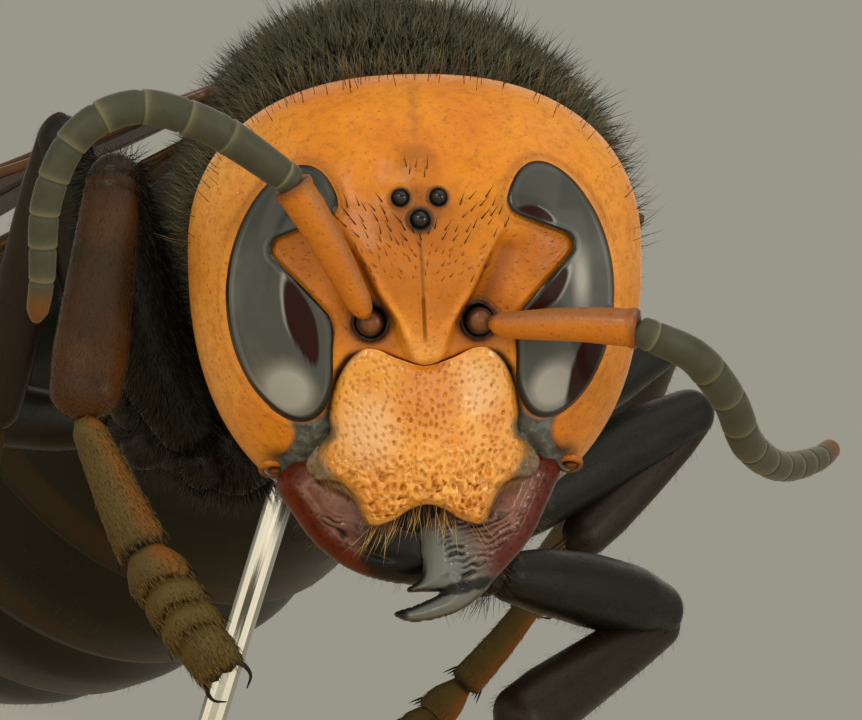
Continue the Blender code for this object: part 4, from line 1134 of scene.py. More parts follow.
def make_whip(tag, finish):
    """Second length of the feeler: pedicel and ten rings, each swelling to a pale rim."""
    rings = (0.0, 0.035, 0.2, 0.30, 0.40, 0.495, 0.585, 0.67, 0.75, 0.825, 0.9, 1.0)
    thick = ((0, 0.3), (0.04, 0.33), (0.2, 0.37), (0.5, 0.345), (0.8, 0.29), (0.95, 0.24), (1, 0.2))
    count = 260
    line = smooth_line(WHIPS[tag], count)
    share = np.linspace(0, 1, count)
    radii = profile(thick, share)
    rim = np.zeros(count)
    for number, joint in enumerate(rings[1:-1]):
        behind = (joint - share) / (0.012 if number else 0.006)
        rim += np.where(behind > 0, np.exp(-behind * 1.6), 0) * 0.9
        radii -= 0.03 * bump_at(share - joint - 0.004, 0.004)
        radii += 0.01 * np.where(behind > 0, np.exp(-behind / 4), 0)
    radii *= np.sqrt(np.clip((1.004 - share) / 0.03, 0, 1))
    radii[:3] *= (0.6, 0.85, 0.95)
    points, faces, along, _ = tube(line, radii, 32, across=(0.1, 1, 0.3))
    rims = np.interp(along, share, np.clip(rim, 0, 1))
    marks = {"rim": rims, "tip": smooth(0.9, 0.96, along), "hair": 1.0 + 0 * along}
    around = np.tile(np.linspace(0, 1, 32), count + 1)[:len(along)]
    marks["skin_uv"] = np.stack([along, around, 0 * along], -1)
    world = to_world(points)
    marks["lay"] = np.tile((world[-1] - world[0]) / np.linalg.norm(world[-1] - world[0]), (len(points), 1))
    return make_piece("whip_rings_" + tag, world, faces, finish, marks)


# Body

def thorax_grid(inset):
    """Thorax skin before hair: its rings of points, how much each faces up, and its place along the body."""
    rows = 120
    sides = 140
    y = np.linspace(-5.15, 7.28, rows)[:, None]
    turn = np.linspace(0, 2 * pi, sides, endpoint=False)[None, :]
    half, rise, drop = (np.interp(y, THORAX_STATIONS[:, 0], THORAX_STATIONS[:, k]) for k in (1, 2, 3))
    taper = smooth(-5.4, -3.8, y) * smooth(7.6, 5.6, y)
    shrink = inset * (0.35 + 0.65 * taper)
    c = np.cos(turn)
    s = np.sin(turn)
    size = (np.abs(c) ** 2.3 + np.abs(s) ** 2.3) ** (-1 / 2.3)
    high = np.where(s > 0, rise, drop) - shrink
    x = (half - shrink) * c * size
    z = high * s * size
    # Seams: collar, rear edge of the back plate, scutellum and the block behind it
    collar = -2.9 + 2.3 * smooth(0.5, 4.0, np.abs(x)) * (s > -0.3)
    back = smooth(-0.1, 0.25, s)
    creases = 0.2 * bump_at(y - 2.15, 0.14) + 0.2 * bump_at(y - 3.75, 0.13) + 0.12 * bump_at(y - 4.6, 0.12)
    sunk = 0.2 * bump_at(y - collar, 0.16) + back * creases
    sunk += 0.07 * back * bump_at(np.abs(x) - 1.5, 0.12) * smooth(-2.6, -2.0, y) * smooth(1.9, 0.8, y)
    sunk += 0.05 * back * bump_at(x, 0.1) * (y > -2.7)
    sunk += 0.25 * bump_at(x, 0.3) * smooth(4.7, 5.4, y) * back
    sunk -= 0.22 * back * bump_at((y - 2.95) / 0.62, 1.0) * smooth(2.4, 1.6, np.abs(x))
    sunk -= 0.1 * back * bump_at((y - 4.15) / 0.3, 1.0) * smooth(2.0, 1.4, np.abs(x))
    flank = bump_at(s + 0.35 - 0.1 * np.sin(y * 1.2), 0.07)
    sunk += 0.16 * flank * smooth(-3.4, -2.6, y) * smooth(4.0, 3.2, y)
    length = np.hypot(x, z) + 1e-6
    x = x * (1 - sunk / length)
    z = z * (1 - sunk / length)
    points = np.stack([x + THORAX_X, y + 0 * x, z + THORAX_Z], -1)
    return points, back + 0 * x, y + 0 * x


def make_thorax(finish):
    """Thorax: one skin for its three blocks, with their seams, below the coat's depth."""
    points, back, y = thorax_grid(COAT_DEPTH)
    rows, sides = points.shape[:2]
    flat = points.reshape(-1, 3)
    offset = flat - np.array([THORAX_X, 0, THORAX_Z])
    warm = 0.5 * back.ravel() * bump_at((flat[:, 1] - 2.95) / 0.6, 1.0) + 0.3 * bump_at(flat[:, 1] - 4.2, 0.4)
    hair = np.ones(len(flat))
    away = np.stack([0 * offset[:, 0], 0.55 + 0 * offset[:, 0], 0 * offset[:, 0]], -1)
    u = (y.ravel() + 5.2) / 12.6
    v = np.tile(np.linspace(0, 1, sides, endpoint=False), rows)
    ends = [points[0].mean(0), points[-1].mean(0)]
    marks = {"warm": warm, "band": 0 * warm, "hair": hair, "front_coat": smooth(-1.2, -1.9, flat[:, 1]),
             "rear_coat": smooth(-1.9, -1.2, flat[:, 1])}
    marks = {k: np.concatenate([v2, [0, 0]]) for k, v2 in marks.items()}
    marks["lay"] = np.vstack([away, [[0, 1, 0], [0, 1, 0]]])
    marks["skin_uv"] = np.vstack([np.stack([u, v, 0 * u], -1), [[0, 0, 0], [1, 1, 0]]])
    return make_piece("thorax_skin", np.vstack([flat, ends]), ring_faces(rows, sides), finish, marks)


def make_neck(finish):
    """Neck: a short ringed tube between the thorax and the nape."""
    line = smooth_line(((0.1, -6.9, 25.3), (0.5, -5.6, 25.9), (0.75, -4.4, 26.3)), 24)
    share = np.linspace(0, 1, 24)
    radii = 0.85 + 0.06 * np.cos(share * 28)
    points, faces, along, _ = tube(line, radii, 40, across=(0, 0.2, 1))
    return make_piece("neck_skin", points, faces, finish, {"warm": 0.1 + 0 * along, "band": 0 * along})


def gaster_girth(share):
    """Girth of the gaster along its line, as a share of its widest."""
    swell = np.minimum(1.0, (share / 0.32) ** 0.5)
    close = 1.0 - np.maximum(0.0, (share - 0.34) / 0.68) ** 2.6
    return np.maximum(0.13, swell) * np.maximum(0.12, close)


def make_gaster(finish):
    """Gaster: six plates that overlap like a telescope, each with a yellow rear band, the last all yellow."""
    rows = 240
    sides = 120
    line = smooth_line(GASTER_LINE, rows)
    share = np.linspace(0, 1, rows)
    ahead = np.gradient(line, axis=0)
    ahead /= np.linalg.norm(ahead, axis=1)[:, None]
    right = np.array([1.0, 0, 0]) - ahead * ahead[:, :1]
    right /= np.linalg.norm(right, axis=1)[:, None]
    up = np.cross(right, ahead)
    lap = np.full(rows, 1.0)
    band = np.zeros(rows)
    for start, end in zip(GASTER_CUTS, GASTER_CUTS[1:]):
        here = (share >= start) & (share < end)
        t = (share - start) / (end - start)
        lap = np.where(here, 0.945 + 0.065 * smooth(0.0, 0.6, t), lap)
        lap = np.where(here & (t > 0.965), lap - 0.012, lap)
        rear = smooth(0.72, 0.78, t) * (1 - 0.85 * smooth(0.955, 0.975, t))
        band = np.where(here, rear, band)
    band = np.where(share < 0.09, 0, band)
    turn = np.linspace(0, 2 * pi, sides, endpoint=False)
    girth = (gaster_girth(share) * lap)[:, None]
    side_line = 1 - 0.018 * bump_at(np.sin(turn) + 0.25, 0.06)
    x = GASTER_HALF_WIDTH * girth * np.cos(turn) * side_line
    z = GASTER_HALF_HEIGHT * girth * np.sin(turn) * side_line
    grid = line[:, None] + right[:, None] * x[..., None] + up[:, None] * z[..., None]
    flat = grid.reshape(-1, 3)
    wave = 0.06 * cloud(flat, 1.3, 51) + 0.05 * np.cos(np.tile(turn, rows) * 3)
    shares = np.repeat(share, sides)
    wide_band = np.interp(shares + wave * 0.12, share, band)
    below = smooth(0.7, 0.35, np.sin(np.tile(turn, rows)))
    wide_band = wide_band * (1 - 0.97 * below)
    tip = smooth(0.885, 0.9, shares)
    first = smooth(0.6, 0.8, np.sin(np.tile(turn, rows))) * bump_at(shares - 0.115, 0.014) * 0.4
    wide_band = wide_band * (0.35 + 0.65 * smooth(0.28, 0.36, shares))
    marks = {"band": np.clip(np.maximum(np.maximum(wide_band, tip), first), 0, 1),
             "warm": 0.35 * smooth(0.1, 0.0, shares) + 0.1 * np.interp(shares, share, band ** 0.5) * (1 - below),
             "hair": 0.3 + 0.7 * smooth(0.7, 1.0, shares)}
    marks = {k: np.concatenate([v, [0, 1]]) for k, v in marks.items()}
    lay = np.vstack([np.repeat(ahead, sides, axis=0), ahead[:1], ahead[-1:]])
    marks["lay"] = lay
    v = np.tile(np.linspace(0, 1, sides, endpoint=False), rows)
    marks["skin_uv"] = np.vstack([np.stack([shares, v, 0 * v], -1), [[0, 0, 0], [1, 1, 0]]])
    points = np.vstack([flat, line[:1], line[-1:] + ahead[-1:] * 0.2])
    return make_piece("gaster_plates", points, ring_faces(rows, sides), finish, marks)


LEGS = {
    "fore_r": ((-0.9, -3.2, 22.6), (-2.5, -4.4, 20.3), (-6.52, -5.6, 26.06), (-6.06, -8.2, 20.8),
               (-4.1, -9.0, 18.5), (-2.01, -9.6, 16.69)),
    "fore_l": ((2.5, -3.2, 22.6), (3.6, -4.2, 20.0), (8.9, -0.6, 20.2), (5.3, -4.2, 16.95),
               (5.7, -3.2, 15.0), (5.1, -0.9, 12.4)),
    "mid_r": ((-1.6, 0.7, 22.3), (-2.9, 0.8, 20.2), (-7.1, -0.6, 26.6), (-6.2, 1.6, 19.8),
              (-6.6, 4.4, 17.2), (-6.4, 8.4, 14.6)),
    "mid_l": ((3.2, 0.7, 22.3), (4.3, 1.0, 20.1), (9.5, 4.2, 24.8), (7.0, 2.2, 20.9),
              (6.1, 3.0, 18.0), (4.6, 5.4, 14.2)),
    "hind_r": ((-1.3, 4.1, 22.9), (-2.4, 5.6, 20.6), (-7.3, 11.2, 19.8), (-7.0, 18.2, 14.2),
               (-6.4, 20.6, 12.2), (-4.0, 23.6, 9.7)),
    "hind_l": ((2.9, 4.1, 22.9), (4.1, 5.6, 20.6), (9.2, 8.0, 26.0), (10.3, 16.8, 21.4),
               (10.7, 19.6, 20.2), (11.8, 24.4, 18.8)),
}
LEG_GIRTHS = {
    "fore": {"coxa": (0.9, 1.05, 0.8), "femur": (0.45, 0.7, 0.8, 0.8, 0.55),
             "tibia": (0.5, 0.62, 0.7, 0.78, 0.72), "foot": 0.5},
    "mid": {"coxa": (0.9, 1.05, 0.75), "femur": (0.42, 0.68, 0.76, 0.72, 0.5),
            "tibia": (0.36, 0.52, 0.58, 0.6, 0.5), "foot": 0.34},
    "hind": {"coxa": (0.85, 1.0, 0.75), "femur": (0.42, 0.68, 0.76, 0.7, 0.48),
             "tibia": (0.34, 0.5, 0.6, 0.62, 0.5), "foot": 0.34},
}


def rounded(share, most):
    """Girth of a domed end, from its tip at 0 to its full girth at 1; most is how far its dome closes."""
    return np.sqrt(np.clip(1 - np.clip(1 - share, 0, most) ** 2, 0, 1))


def segment(start, end, girths, rows, sides, warm, flatness=1.0, rounding=0.3, bow=0.0):
    """One length of a leg: tapering rod with domed ends."""
    start = np.array(start, float)
    end = np.array(end, float)
    share = np.linspace(0, 1, rows)
    length = np.linalg.norm(end - start)
    side = np.cross(end - start, (0.2, 1.0, 0.1))
    side /= np.linalg.norm(side)
    line = start + (end - start) * share[:, None] + side * (bow * np.sin(pi * share))[:, None]
    radii = np.interp(share, np.linspace(0, 1, len(girths)), girths)
    ease = rounding / length
    radii = radii * rounded(share / ease, 0.97) * rounded((1 - share) / ease, 0.97)
    points, faces, along, _ = tube(line, radii, sides, across=(0.3, 0.9, 0.2), flatness=flatness)
    return points, faces, {"warm": warm, "band": 0.0, "share": along}


def make_leg(tag, shell, foot_shell):
    """A leg from hip to shin as one shell, and its foot: five joints, bristles and two claws."""
    hip, trochanter, knee, ankle, instep, claw = (np.array(p) for p in LEGS[tag])
    kind = tag.split("_")[0]
    girths = LEG_GIRTHS[kind]
    near = tag == "fore_r"
    red = 0.85 if near else 0.12
    out = (knee - trochanter) / np.linalg.norm(knee - trochanter)
    down = (ankle - knee) / np.linalg.norm(ankle - knee)
    thigh = (0.55, 0.88, 0.95, 0.82, 0.5) if near else girths["femur"]
    parts = [
        segment(hip, trochanter, girths["coxa"], 24, 28, 0.0, rounding=0.6),
        segment(trochanter - out * 0.25, trochanter + out * 0.75, (0.42, 0.52, 0.46), 14, 24, 0.05),
        segment(trochanter + out * 0.62, knee + out * 0.1, thigh, 50, 32, 0.0, rounding=0.5,
                bow=0.4 if near else 0.15),
        segment(knee - down * 0.15, ankle, girths["tibia"], 90, 40, red, flatness=0.8, rounding=0.6),
    ]
    for part, shaggy in zip(parts, (1.0, 1.0, 1.0 if near else 0.0, 0.0)):
        part[2]["coxa"] = shaggy
        part[2]["hair"] = 1.0 - shaggy
    if kind != "fore":
        # Spurs at the end of the shin
        for lean in (-0.35, 0.35):
            tip = ankle + down * 0.75 + np.cross(down, (0, 1, 0)) * lean
            root = ankle - down * 0.2 + np.cross(down, (0, 1, 0)) * lean * 0.6
            spur = segment(root, tip, (0.07, 0.06, 0.015), 8, 8, 0.4, rounding=0.05)
            spur[2].update(coxa=0.0, hair=0.0)
            parts.append(spur)
    points, faces, marks = joined(parts)
    if near:
        # The raised shin is tawny, grey-brown at the knee and dark down its middle
        middle = bump_at(marks["share"] - 0.5, 0.2)
        uneven = (0.8 + 0.35 * cloud(points, 0.5, 71)) * smooth(0.0, 0.25, marks["share"])
        marks["warm"] = marks["warm"] * np.where(marks["warm"] > 0.5, (1 - 0.6 * middle) * uneven, 1)
        fold = bump_at(marks["share"] - 0.1, 0.012) + 0.6 * bump_at(marks["share"] - 0.16, 0.01)
        fold = fold * marks["hair"]
        points = points - np.array([0.06, -0.25, 0.0]) * 0.35 * fold[:, None]
        marks["warm"] = marks["warm"] * (1 - 0.8 * np.clip(fold, 0, 1))
    marks["lay"] = np.tile((ankle - knee) / np.linalg.norm(ankle - knee), (len(points), 1))
    marks["skin_uv"] = np.stack([marks["share"], (points[:, 2] % 5) / 5, 0 * marks["share"]], -1)
    leg = make_piece("leg_shell_" + tag, points, faces, shell, marks)

    # Foot: long first joint, three short hearts, clawed last joint, each tucked under the one before
    line = smooth_line((ankle, instep, claw), 200)
    cuts = (0.0, 0.5, 0.62, 0.72, 0.82, 1.0)
    girth = girths["foot"]
    parts = []
    run = np.linspace(0, 1, 200)
    for number, (a, b) in enumerate(zip(cuts, cuts[1:])):
        rows = 30
        share = np.linspace(a - (0.02 if number else -0.004), b, rows)
        path = np.stack([np.interp(share, run, line[:, k]) for k in range(3)], -1)
        t = np.linspace(0, 1, rows)
        if number == 0:
            shape = 0.62 + 0.52 * t ** 0.9
        elif number < 4:
            shape = 0.62 + 0.66 * smooth(0.0, 0.75, t)
        else:
            shape = 0.62 + 0.5 * np.sin(pi * np.clip(0.12 + t * 0.62, 0, 1))
        shape = shape * rounded((1 - t) / (0.12 if number else 0.06), 0.94) * rounded(t / 0.1, 0.8)
        sides = 32
        tube_points, tube_faces, along, turn = tube(path, girth * shape, sides, across=(0.3, 0.9, 0.2),
                                                    flatness=0.72)
        ahead = path[-1] - path[-2]
        ahead /= np.linalg.norm(ahead)
        lobe = np.where(np.arange(len(along)) < rows * sides, np.abs(np.cos(turn)) ** 2 * along ** 3, 0)
        reach = 0.3 if 0 < number < 4 else 0.1
        tube_points = tube_points + ahead * (lobe * reach * (girth / 0.46))[:, None]
        golden = 0.1 + 0.75 * smooth(0.0, 0.9, np.cos(turn)) * (number < 2)
        rim = np.maximum(smooth(0.9, 0.99, along), smooth(0.24, 0.1, along) * (number > 0))
        parts.append((tube_points, tube_faces, {"warm": golden, "band": 0.0, "rim": rim}))
        # Stout bristles at the far corners
        if number < 4:
            across = np.cross(ahead, (0.3, 0.9, 0.2))
            across /= np.linalg.norm(across)
            for sign in (-1, 1):
                for step in range(4):
                    root = path[-3] + across * sign * girth * shape[-4] * (0.95 - 0.12 * step)
                    end = root + ahead * (0.42 - 0.04 * step) + across * sign * (0.16 - 0.05 * step)
                    spine = segment(root, end, (0.028, 0.022, 0.006), 5, 5, 0.3, rounding=0.02)
                    parts.append((spine[0], spine[1], {"warm": 0.3, "band": 0.0, "rim": 1.0}))
    toe = (line[-1] - line[-6]) / np.linalg.norm(line[-1] - line[-6])
    aside = np.cross(toe, (0.2, 0.9, 0.3))
    aside /= np.linalg.norm(aside)
    for sign in (-1, 1):
        hook = smooth_line((claw - toe * 0.2 + aside * sign * 0.2, claw + toe * 0.1 + aside * sign * 0.46,
                            claw + toe * 0.38 + aside * sign * 0.48, claw + toe * 0.56 + aside * sign * 0.26), 16)
        thick = np.linspace(0.085, 0.014, 16)
        hook_points, hook_faces, _, _ = tube(hook, thick, 10, across=(0.3, 0.9, 0.2))
        parts.append((hook_points, hook_faces, {"warm": 0.0, "band": 0.0, "rim": 1.0}))
    points, faces, marks = joined(parts)
    marks["hair"] = 1 - marks["rim"]
    marks["lay"] = np.tile(toe, (len(points), 1))
    marks["skin_uv"] = np.stack([points[:, 0] % 1, points[:, 2] % 1, 0 * points[:, 0]], -1)
    foot = make_piece("foot_joints_" + tag, points, faces, foot_shell, marks)
    return leg, foot


WINGS = {
    "forewing_r": ((-3.7, -0.9, 28.3), (-13.6, 22.0, 16.0), (-0.9, -0.2, -0.45), 5.2, 0.6),
    "hindwing_r": ((-3.6, 1.4, 27.2), (-9.6, 17.6, 16.9), (-0.9, -0.2, -0.5), 3.6, 0.3),
    "forewing_l": ((5.3, -0.9, 28.3), (7.8, 25.6, 26.6), (0.95, -0.2, -0.25), 5.2, -0.6),
    "hindwing_l": ((5.2, 1.4, 27.0), (8.9, 19.0, 24.2), (0.95, -0.2, -0.3), 3.6, -0.3),
}
# Veins as (share along the wing, place across it from the rear edge -0.5 to the leading edge 0.5)
FORE_VEINS = (
    (((0.02, 0.42), (0.2, 0.47), (0.4, 0.48), (0.62, 0.48), (0.8, 0.46), (0.95, 0.3)), 0.13),
    (((0.02, 0.25), (0.2, 0.36), (0.42, 0.4), (0.6, 0.42)), 0.1),
    (((0.42, 0.38), (0.55, 0.16), (0.7, 0.12), (0.85, 0.22), (0.93, 0.34)), 0.07),
    (((0.03, 0.05), (0.25, 0.08), (0.45, 0.1), (0.62, 0.02), (0.8, -0.04)), 0.08),
    (((0.3, 0.08), (0.4, -0.12), (0.55, -0.2), (0.72, -0.24)), 0.06),
    (((0.03, -0.15), (0.2, -0.24), (0.4, -0.3), (0.52, -0.4)), 0.07),
    (((0.45, 0.1), (0.5, -0.06), (0.53, -0.2)), 0.05),
    (((0.6, 0.14), (0.62, 0.02), (0.63, -0.1)), 0.05),
    (((0.72, 0.12), (0.73, -0.02)), 0.05),
)
HIND_VEINS = (
    (((0.02, 0.35), (0.3, 0.46), (0.6, 0.46), (0.9, 0.3)), 0.09),
    (((0.05, 0.1), (0.35, 0.12), (0.6, 0.05), (0.85, 0.0)), 0.06),
    (((0.05, -0.1), (0.3, -0.2), (0.6, -0.3)), 0.05),
    (((0.45, 0.44), (0.5, 0.1)), 0.045),
)


def wing_point(shape, share, across):
    """A point of the wing's middle sheet."""
    root, tip, lead, chord, sag = shape
    root = np.array(root)
    tip = np.array(tip)
    ahead = (tip - root) / np.linalg.norm(tip - root)
    lead = np.array(lead) - ahead * ahead.dot(np.array(lead))
    lead /= np.linalg.norm(lead)
    normal = np.cross(ahead, lead)
    share = np.asarray(share, float)
    across = np.asarray(across, float)
    widening = 0.16 + 0.84 * np.minimum(1.0, share / 0.6) ** 0.8
    width = chord * widening * (1.0 - np.maximum(0.0, (share - 0.72) / 0.29) ** 2.4)
    bow = 0.18 * (1 - (2 * across) ** 2)
    pleat = 0.1 * np.sin(across * 22 + share * 3) * smooth(0.02, 0.2, share)
    wave = 0.12 * np.sin(share * 17 + across * 5) * smooth(0.1, 0.5, share)
    lift = np.sign(sag) * (bow + pleat + wave) + sag * np.sin(pi * share)
    return (root + (tip - root) * share[..., None] + normal * lift[..., None]
            + lead * (across * width - 0.12 * width)[..., None]), normal


def make_wing(name, membrane, vein):
    """Wing: a thin pleated film with its network of veins."""
    shape = WINGS[name]
    rows = 70
    columns = 32
    share, across = np.meshgrid(np.linspace(0, 0.985, rows), np.linspace(-0.5, 0.5, columns), indexing="ij")
    sheet, normal = wing_point(shape, share, across)
    upper = (sheet + normal * FILM_HALF).reshape(-1, 3)
    lower = (sheet - normal * FILM_HALF).reshape(-1, 3)
    r, c = np.meshgrid(np.arange(rows - 1), np.arange(columns - 1), indexing="ij")
    a = (r * columns + c).ravel()
    top = np.stack([a, a + columns, a + columns + 1, a + 1], -1)
    total = rows * columns
    border = np.concatenate([np.arange(columns), np.arange(1, rows) * columns + columns - 1,
                             (rows - 1) * columns + np.arange(columns - 2, -1, -1),
                             np.arange(rows - 2, 0, -1) * columns])
    after = np.roll(border, -1)
    wall = np.stack([border, after, after + total, border + total], -1)
    faces = [np.vstack([top, top[:, ::-1] + total, wall])]
    film_piece = make_piece(name + "_film", np.vstack([upper, lower]), faces, membrane)
    parts = []
    for path, thick in (FORE_VEINS if name.startswith("fore") else HIND_VEINS):
        flat = smooth_line(path, 60)
        line, _ = wing_point(shape, flat[:, 0], flat[:, 1])
        taper = np.linspace(1.0, 0.55, 60)
        points, tube_faces, _, _ = tube(line, thick * taper, 8, across=normal)
        parts.append((points, tube_faces, {}))
    if name.startswith("fore"):
        # Dark cell on the leading edge
        flat = smooth_line(((0.585, 0.455), (0.615, 0.45), (0.65, 0.46)), 20)
        line, _ = wing_point(shape, flat[:, 0], flat[:, 1])
        thick = 0.2 * np.sin(np.linspace(0.25, pi - 0.25, 20))
        points, tube_faces, _, _ = tube(line, thick, 12, across=normal, flatness=0.5)
        parts.append((points, tube_faces, {}))
        # Wing base: knuckles of hard cuticle under the shoulder scale
        base, _ = wing_point(shape, np.array([0.02, 0.08]), np.array([0.05, 0.05]))
        line = smooth_line((base[0], base[1]), 12)
        points, tube_faces, _, _ = tube(line, 0.22, 14, across=normal, flatness=0.7)
        parts.append((points, tube_faces, {}))
    points, faces, _ = joined(parts)
    vein_piece = make_piece(name + "_veins", points, faces, vein)
    return film_piece, vein_piece


def make_tegula(side, finish):
    """Shoulder scale over the wing base."""
    place = np.array([THORAX_X + side * 3.95, -0.4, 28.6])
    steps = np.linspace(-0.98, 0.98, 20)
    line = place + np.array([0, 1.0, -0.1]) * steps[:, None] * 0.95
    points, faces, along, _ = tube(line, 0.62 * np.sqrt(1 - steps ** 2), 28, across=(side * 0.8, 0, 0.6),
                                   flatness=0.5)
    return make_piece("tegula_" + ("l" if side > 0 else "r"), points, faces, finish,
                      {"warm": 0 * along, "band": 0 * along})


# Hair

BAKE_STEP = 0.0015


def strand(name, thickness, bend):
    """One hair of unit length: three-sided, tapering to a point, bent towards +X. Its thickness at the root
    is twice the given share of its length. Real hairs are too fine to show, so most of these are 0.02 to
    0.03 mm thick."""
    ring = [(cos(2 * pi * k / 3), sin(2 * pi * k / 3)) for k in range(3)]
    verts = [(thickness * x, thickness * y, 0.0) for x, y in ring]
    verts += [(thickness * 0.75 * x + bend * 0.3, thickness * 0.75 * y, 0.52) for x, y in ring]
    verts.append((bend, 0.0, 1.0))
    faces = [(0, 2, 1)]
    for k in range(3):
        j = (k + 1) % 3
        faces.append((k, j, j + 3, k + 3))
        faces.append((k + 3, j + 3, 6))
    mesh = bpy.data.meshes.new(name)
    mesh.from_pydata(verts, [], faces)
    mesh.shade_smooth()
    rise = mesh.attributes.new("rise", "FLOAT", "POINT")
    rise.data.foreach_set("value", [0.0] * 3 + [0.5] * 3 + [1.0])
    item = bpy.data.objects.new(name, mesh)
    bpy.context.collection.objects.link(item)
    return item


def hair_tree():
    """Geometry nodes that plant hairs on a skin, thickest where the named mark is 1."""
    tree = bpy.data.node_groups.new("hair_planting", "GeometryNodeTree")
    sockets = {"Geometry": "Geometry", "Strand": "Object", "Finish": "Material", "Mark": "String",
               "Density": "Float", "Length": "Float", "Length Spread": "Float", "Lean": "Float",
               "Ruffle": "Float", "Seed": "Int", "Spacing": "Float"}
    for name, kind in sockets.items():
        tree.interface.new_socket(name, in_out="INPUT", socket_type="NodeSocket" + kind)
    tree.interface.new_socket("Geometry", in_out="OUTPUT", socket_type="NodeSocketGeometry")
    start = add_node(tree, "NodeGroupInput").outputs
    mark = add_node(tree, "GeometryNodeInputNamedAttribute", {"Name": start["Mark"]}, data_type="FLOAT")
    planted = add_node(tree, "GeometryNodeDistributePointsOnFaces",
                       {"Mesh": start["Geometry"], "Distance Min": start["Spacing"],
                        "Density Max": start["Density"], "Density Factor": mark.outputs[0],
                        "Seed": start["Seed"]}, distribute_method="POISSON")
    lay = add_node(tree, "GeometryNodeInputNamedAttribute", {"Name": "lay"},
                   data_type="FLOAT_VECTOR").outputs[0]
    leaned = add_node(tree, "ShaderNodeMix", {0: start["Lean"], 4: planted.outputs["Normal"], 5: lay},
                      data_type="VECTOR").outputs[1]
    stray = add_node(tree, "FunctionNodeRandomValue", {0: (-1, -1, -1), 1: (1, 1, 1), "Seed": start["Seed"]},
                     data_type="FLOAT_VECTOR").outputs[0]
    stray = add_node(tree, "ShaderNodeVectorMath", {0: stray, "Scale": start["Ruffle"]},
                     operation="SCALE").outputs[0]
    way = add_node(tree, "ShaderNodeVectorMath", {0: leaned, 1: stray}, operation="ADD").outputs[0]
    turned = add_node(tree, "FunctionNodeAlignRotationToVector", {"Vector": way}, axis="Z").outputs[0]
    curl = add_node(tree, "ShaderNodeVectorMath", {0: lay, 1: stray}, operation="ADD").outputs[0]
    turned = add_node(tree, "FunctionNodeAlignRotationToVector", {"Rotation": turned, "Vector": curl},
                      axis="X", pivot_axis="Z").outputs[0]
    short = add_node(tree, "ShaderNodeMath", {0: 1.0, 1: start["Length Spread"]},
                     operation="SUBTRACT").outputs[0]
    factor = add_node(tree, "FunctionNodeRandomValue", {2: short, 3: 1.0, "Seed": start["Seed"]},
                      data_type="FLOAT").outputs[1]
    scale = add_node(tree, "ShaderNodeMath", {0: factor, 1: start["Length"]}, operation="MULTIPLY").outputs[0]
    tone = add_node(tree, "FunctionNodeRandomValue", {2: 0.2, 3: 1.0, "Seed": 77},
                    data_type="FLOAT").outputs[1]
    toned = add_node(tree, "GeometryNodeStoreNamedAttribute",
                     {"Geometry": planted.outputs["Points"], "Name": "tone", "Value": tone}, data_type="FLOAT",
                     domain="POINT").outputs[0]
    hair = add_node(tree, "GeometryNodeObjectInfo", {"Object": start["Strand"]}).outputs["Geometry"]
    grown = add_node(tree, "GeometryNodeInstanceOnPoints", {"Points": toned, "Instance": hair, "Rotation": turned,
                                                            "Scale": scale}).outputs[0]
    real = add_node(tree, "GeometryNodeRealizeInstances", {"Geometry": grown}).outputs[0]
    coat = add_node(tree, "GeometryNodeSetMaterial", {"Geometry": real, "Material": start["Finish"]})
    add_node(tree, "NodeGroupOutput", {"Geometry": coat.outputs[0]})
    return tree


def plant(tree, name, skin, hair, finish, mark, density, spacing, length, spread, lean, ruffle, seed):
    """Grow a coat on a skin and keep it as a plain mesh with its bake map."""
    values = {"Strand": hair, "Finish": finish, "Mark": mark, "Density": density * PER_MM2,
              "Spacing": spacing * MM, "Length": length * MM, "Length Spread": spread, "Lean": lean,
              "Ruffle": ruffle, "Seed": seed}
    holder = bpy.data.objects.new("holder", skin.data)
    bpy.context.collection.objects.link(holder)
    growth = holder.modifiers.new("hair", "NODES")
    growth.node_group = tree
    sockets = {item.name: item.identifier for item in tree.interface.items_tree if item.in_out == "INPUT"}
    for key, value in values.items():
        growth[sockets[key]] = value
    view_layer = bpy.context.evaluated_depsgraph_get()
    mesh = bpy.data.meshes.new_from_object(holder.evaluated_get(view_layer), depsgraph=view_layer)
    mesh.name = name
    bpy.data.objects.remove(holder)
    coat = bpy.data.objects.new(name, mesh)
    bpy.context.collection.objects.link(coat)
    # Each hair bakes from a patch two steps wide at its root's place on the skin
    count = len(mesh.vertices)
    if count and "skin_uv" in mesh.attributes:
        root = np.zeros(count * 3, np.float32)
        mesh.attributes["skin_uv"].data.foreach_get("vector", root)
        root = root.reshape(-1, 3)[:, :2]
        step = np.arange(count) % 7
        offset = np.stack([step % 3, step // 3], -1) * BAKE_STEP
        corners = np.zeros(len(mesh.loops), np.int32)
        mesh.loops.foreach_get("vertex_index", corners)
        flat = mesh.uv_layers.new(name="OFBake")
        flat.data.foreach_set("uv", (root + offset)[corners].astype(np.float32).ravel())
    spent = [mark.name for mark in mesh.attributes if mark.data_type in ("FLOAT", "FLOAT_VECTOR")
             and mark.name not in ("position", "rise", "tone")]
    for extra in spent:
        mesh.attributes.remove(mesh.attributes[extra])
    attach(coat, "root")


# Stage

LIGHT_COLOUR = "#FFF3E0"
LIGHT_AIM = (0.0, -6.0, 24.0)
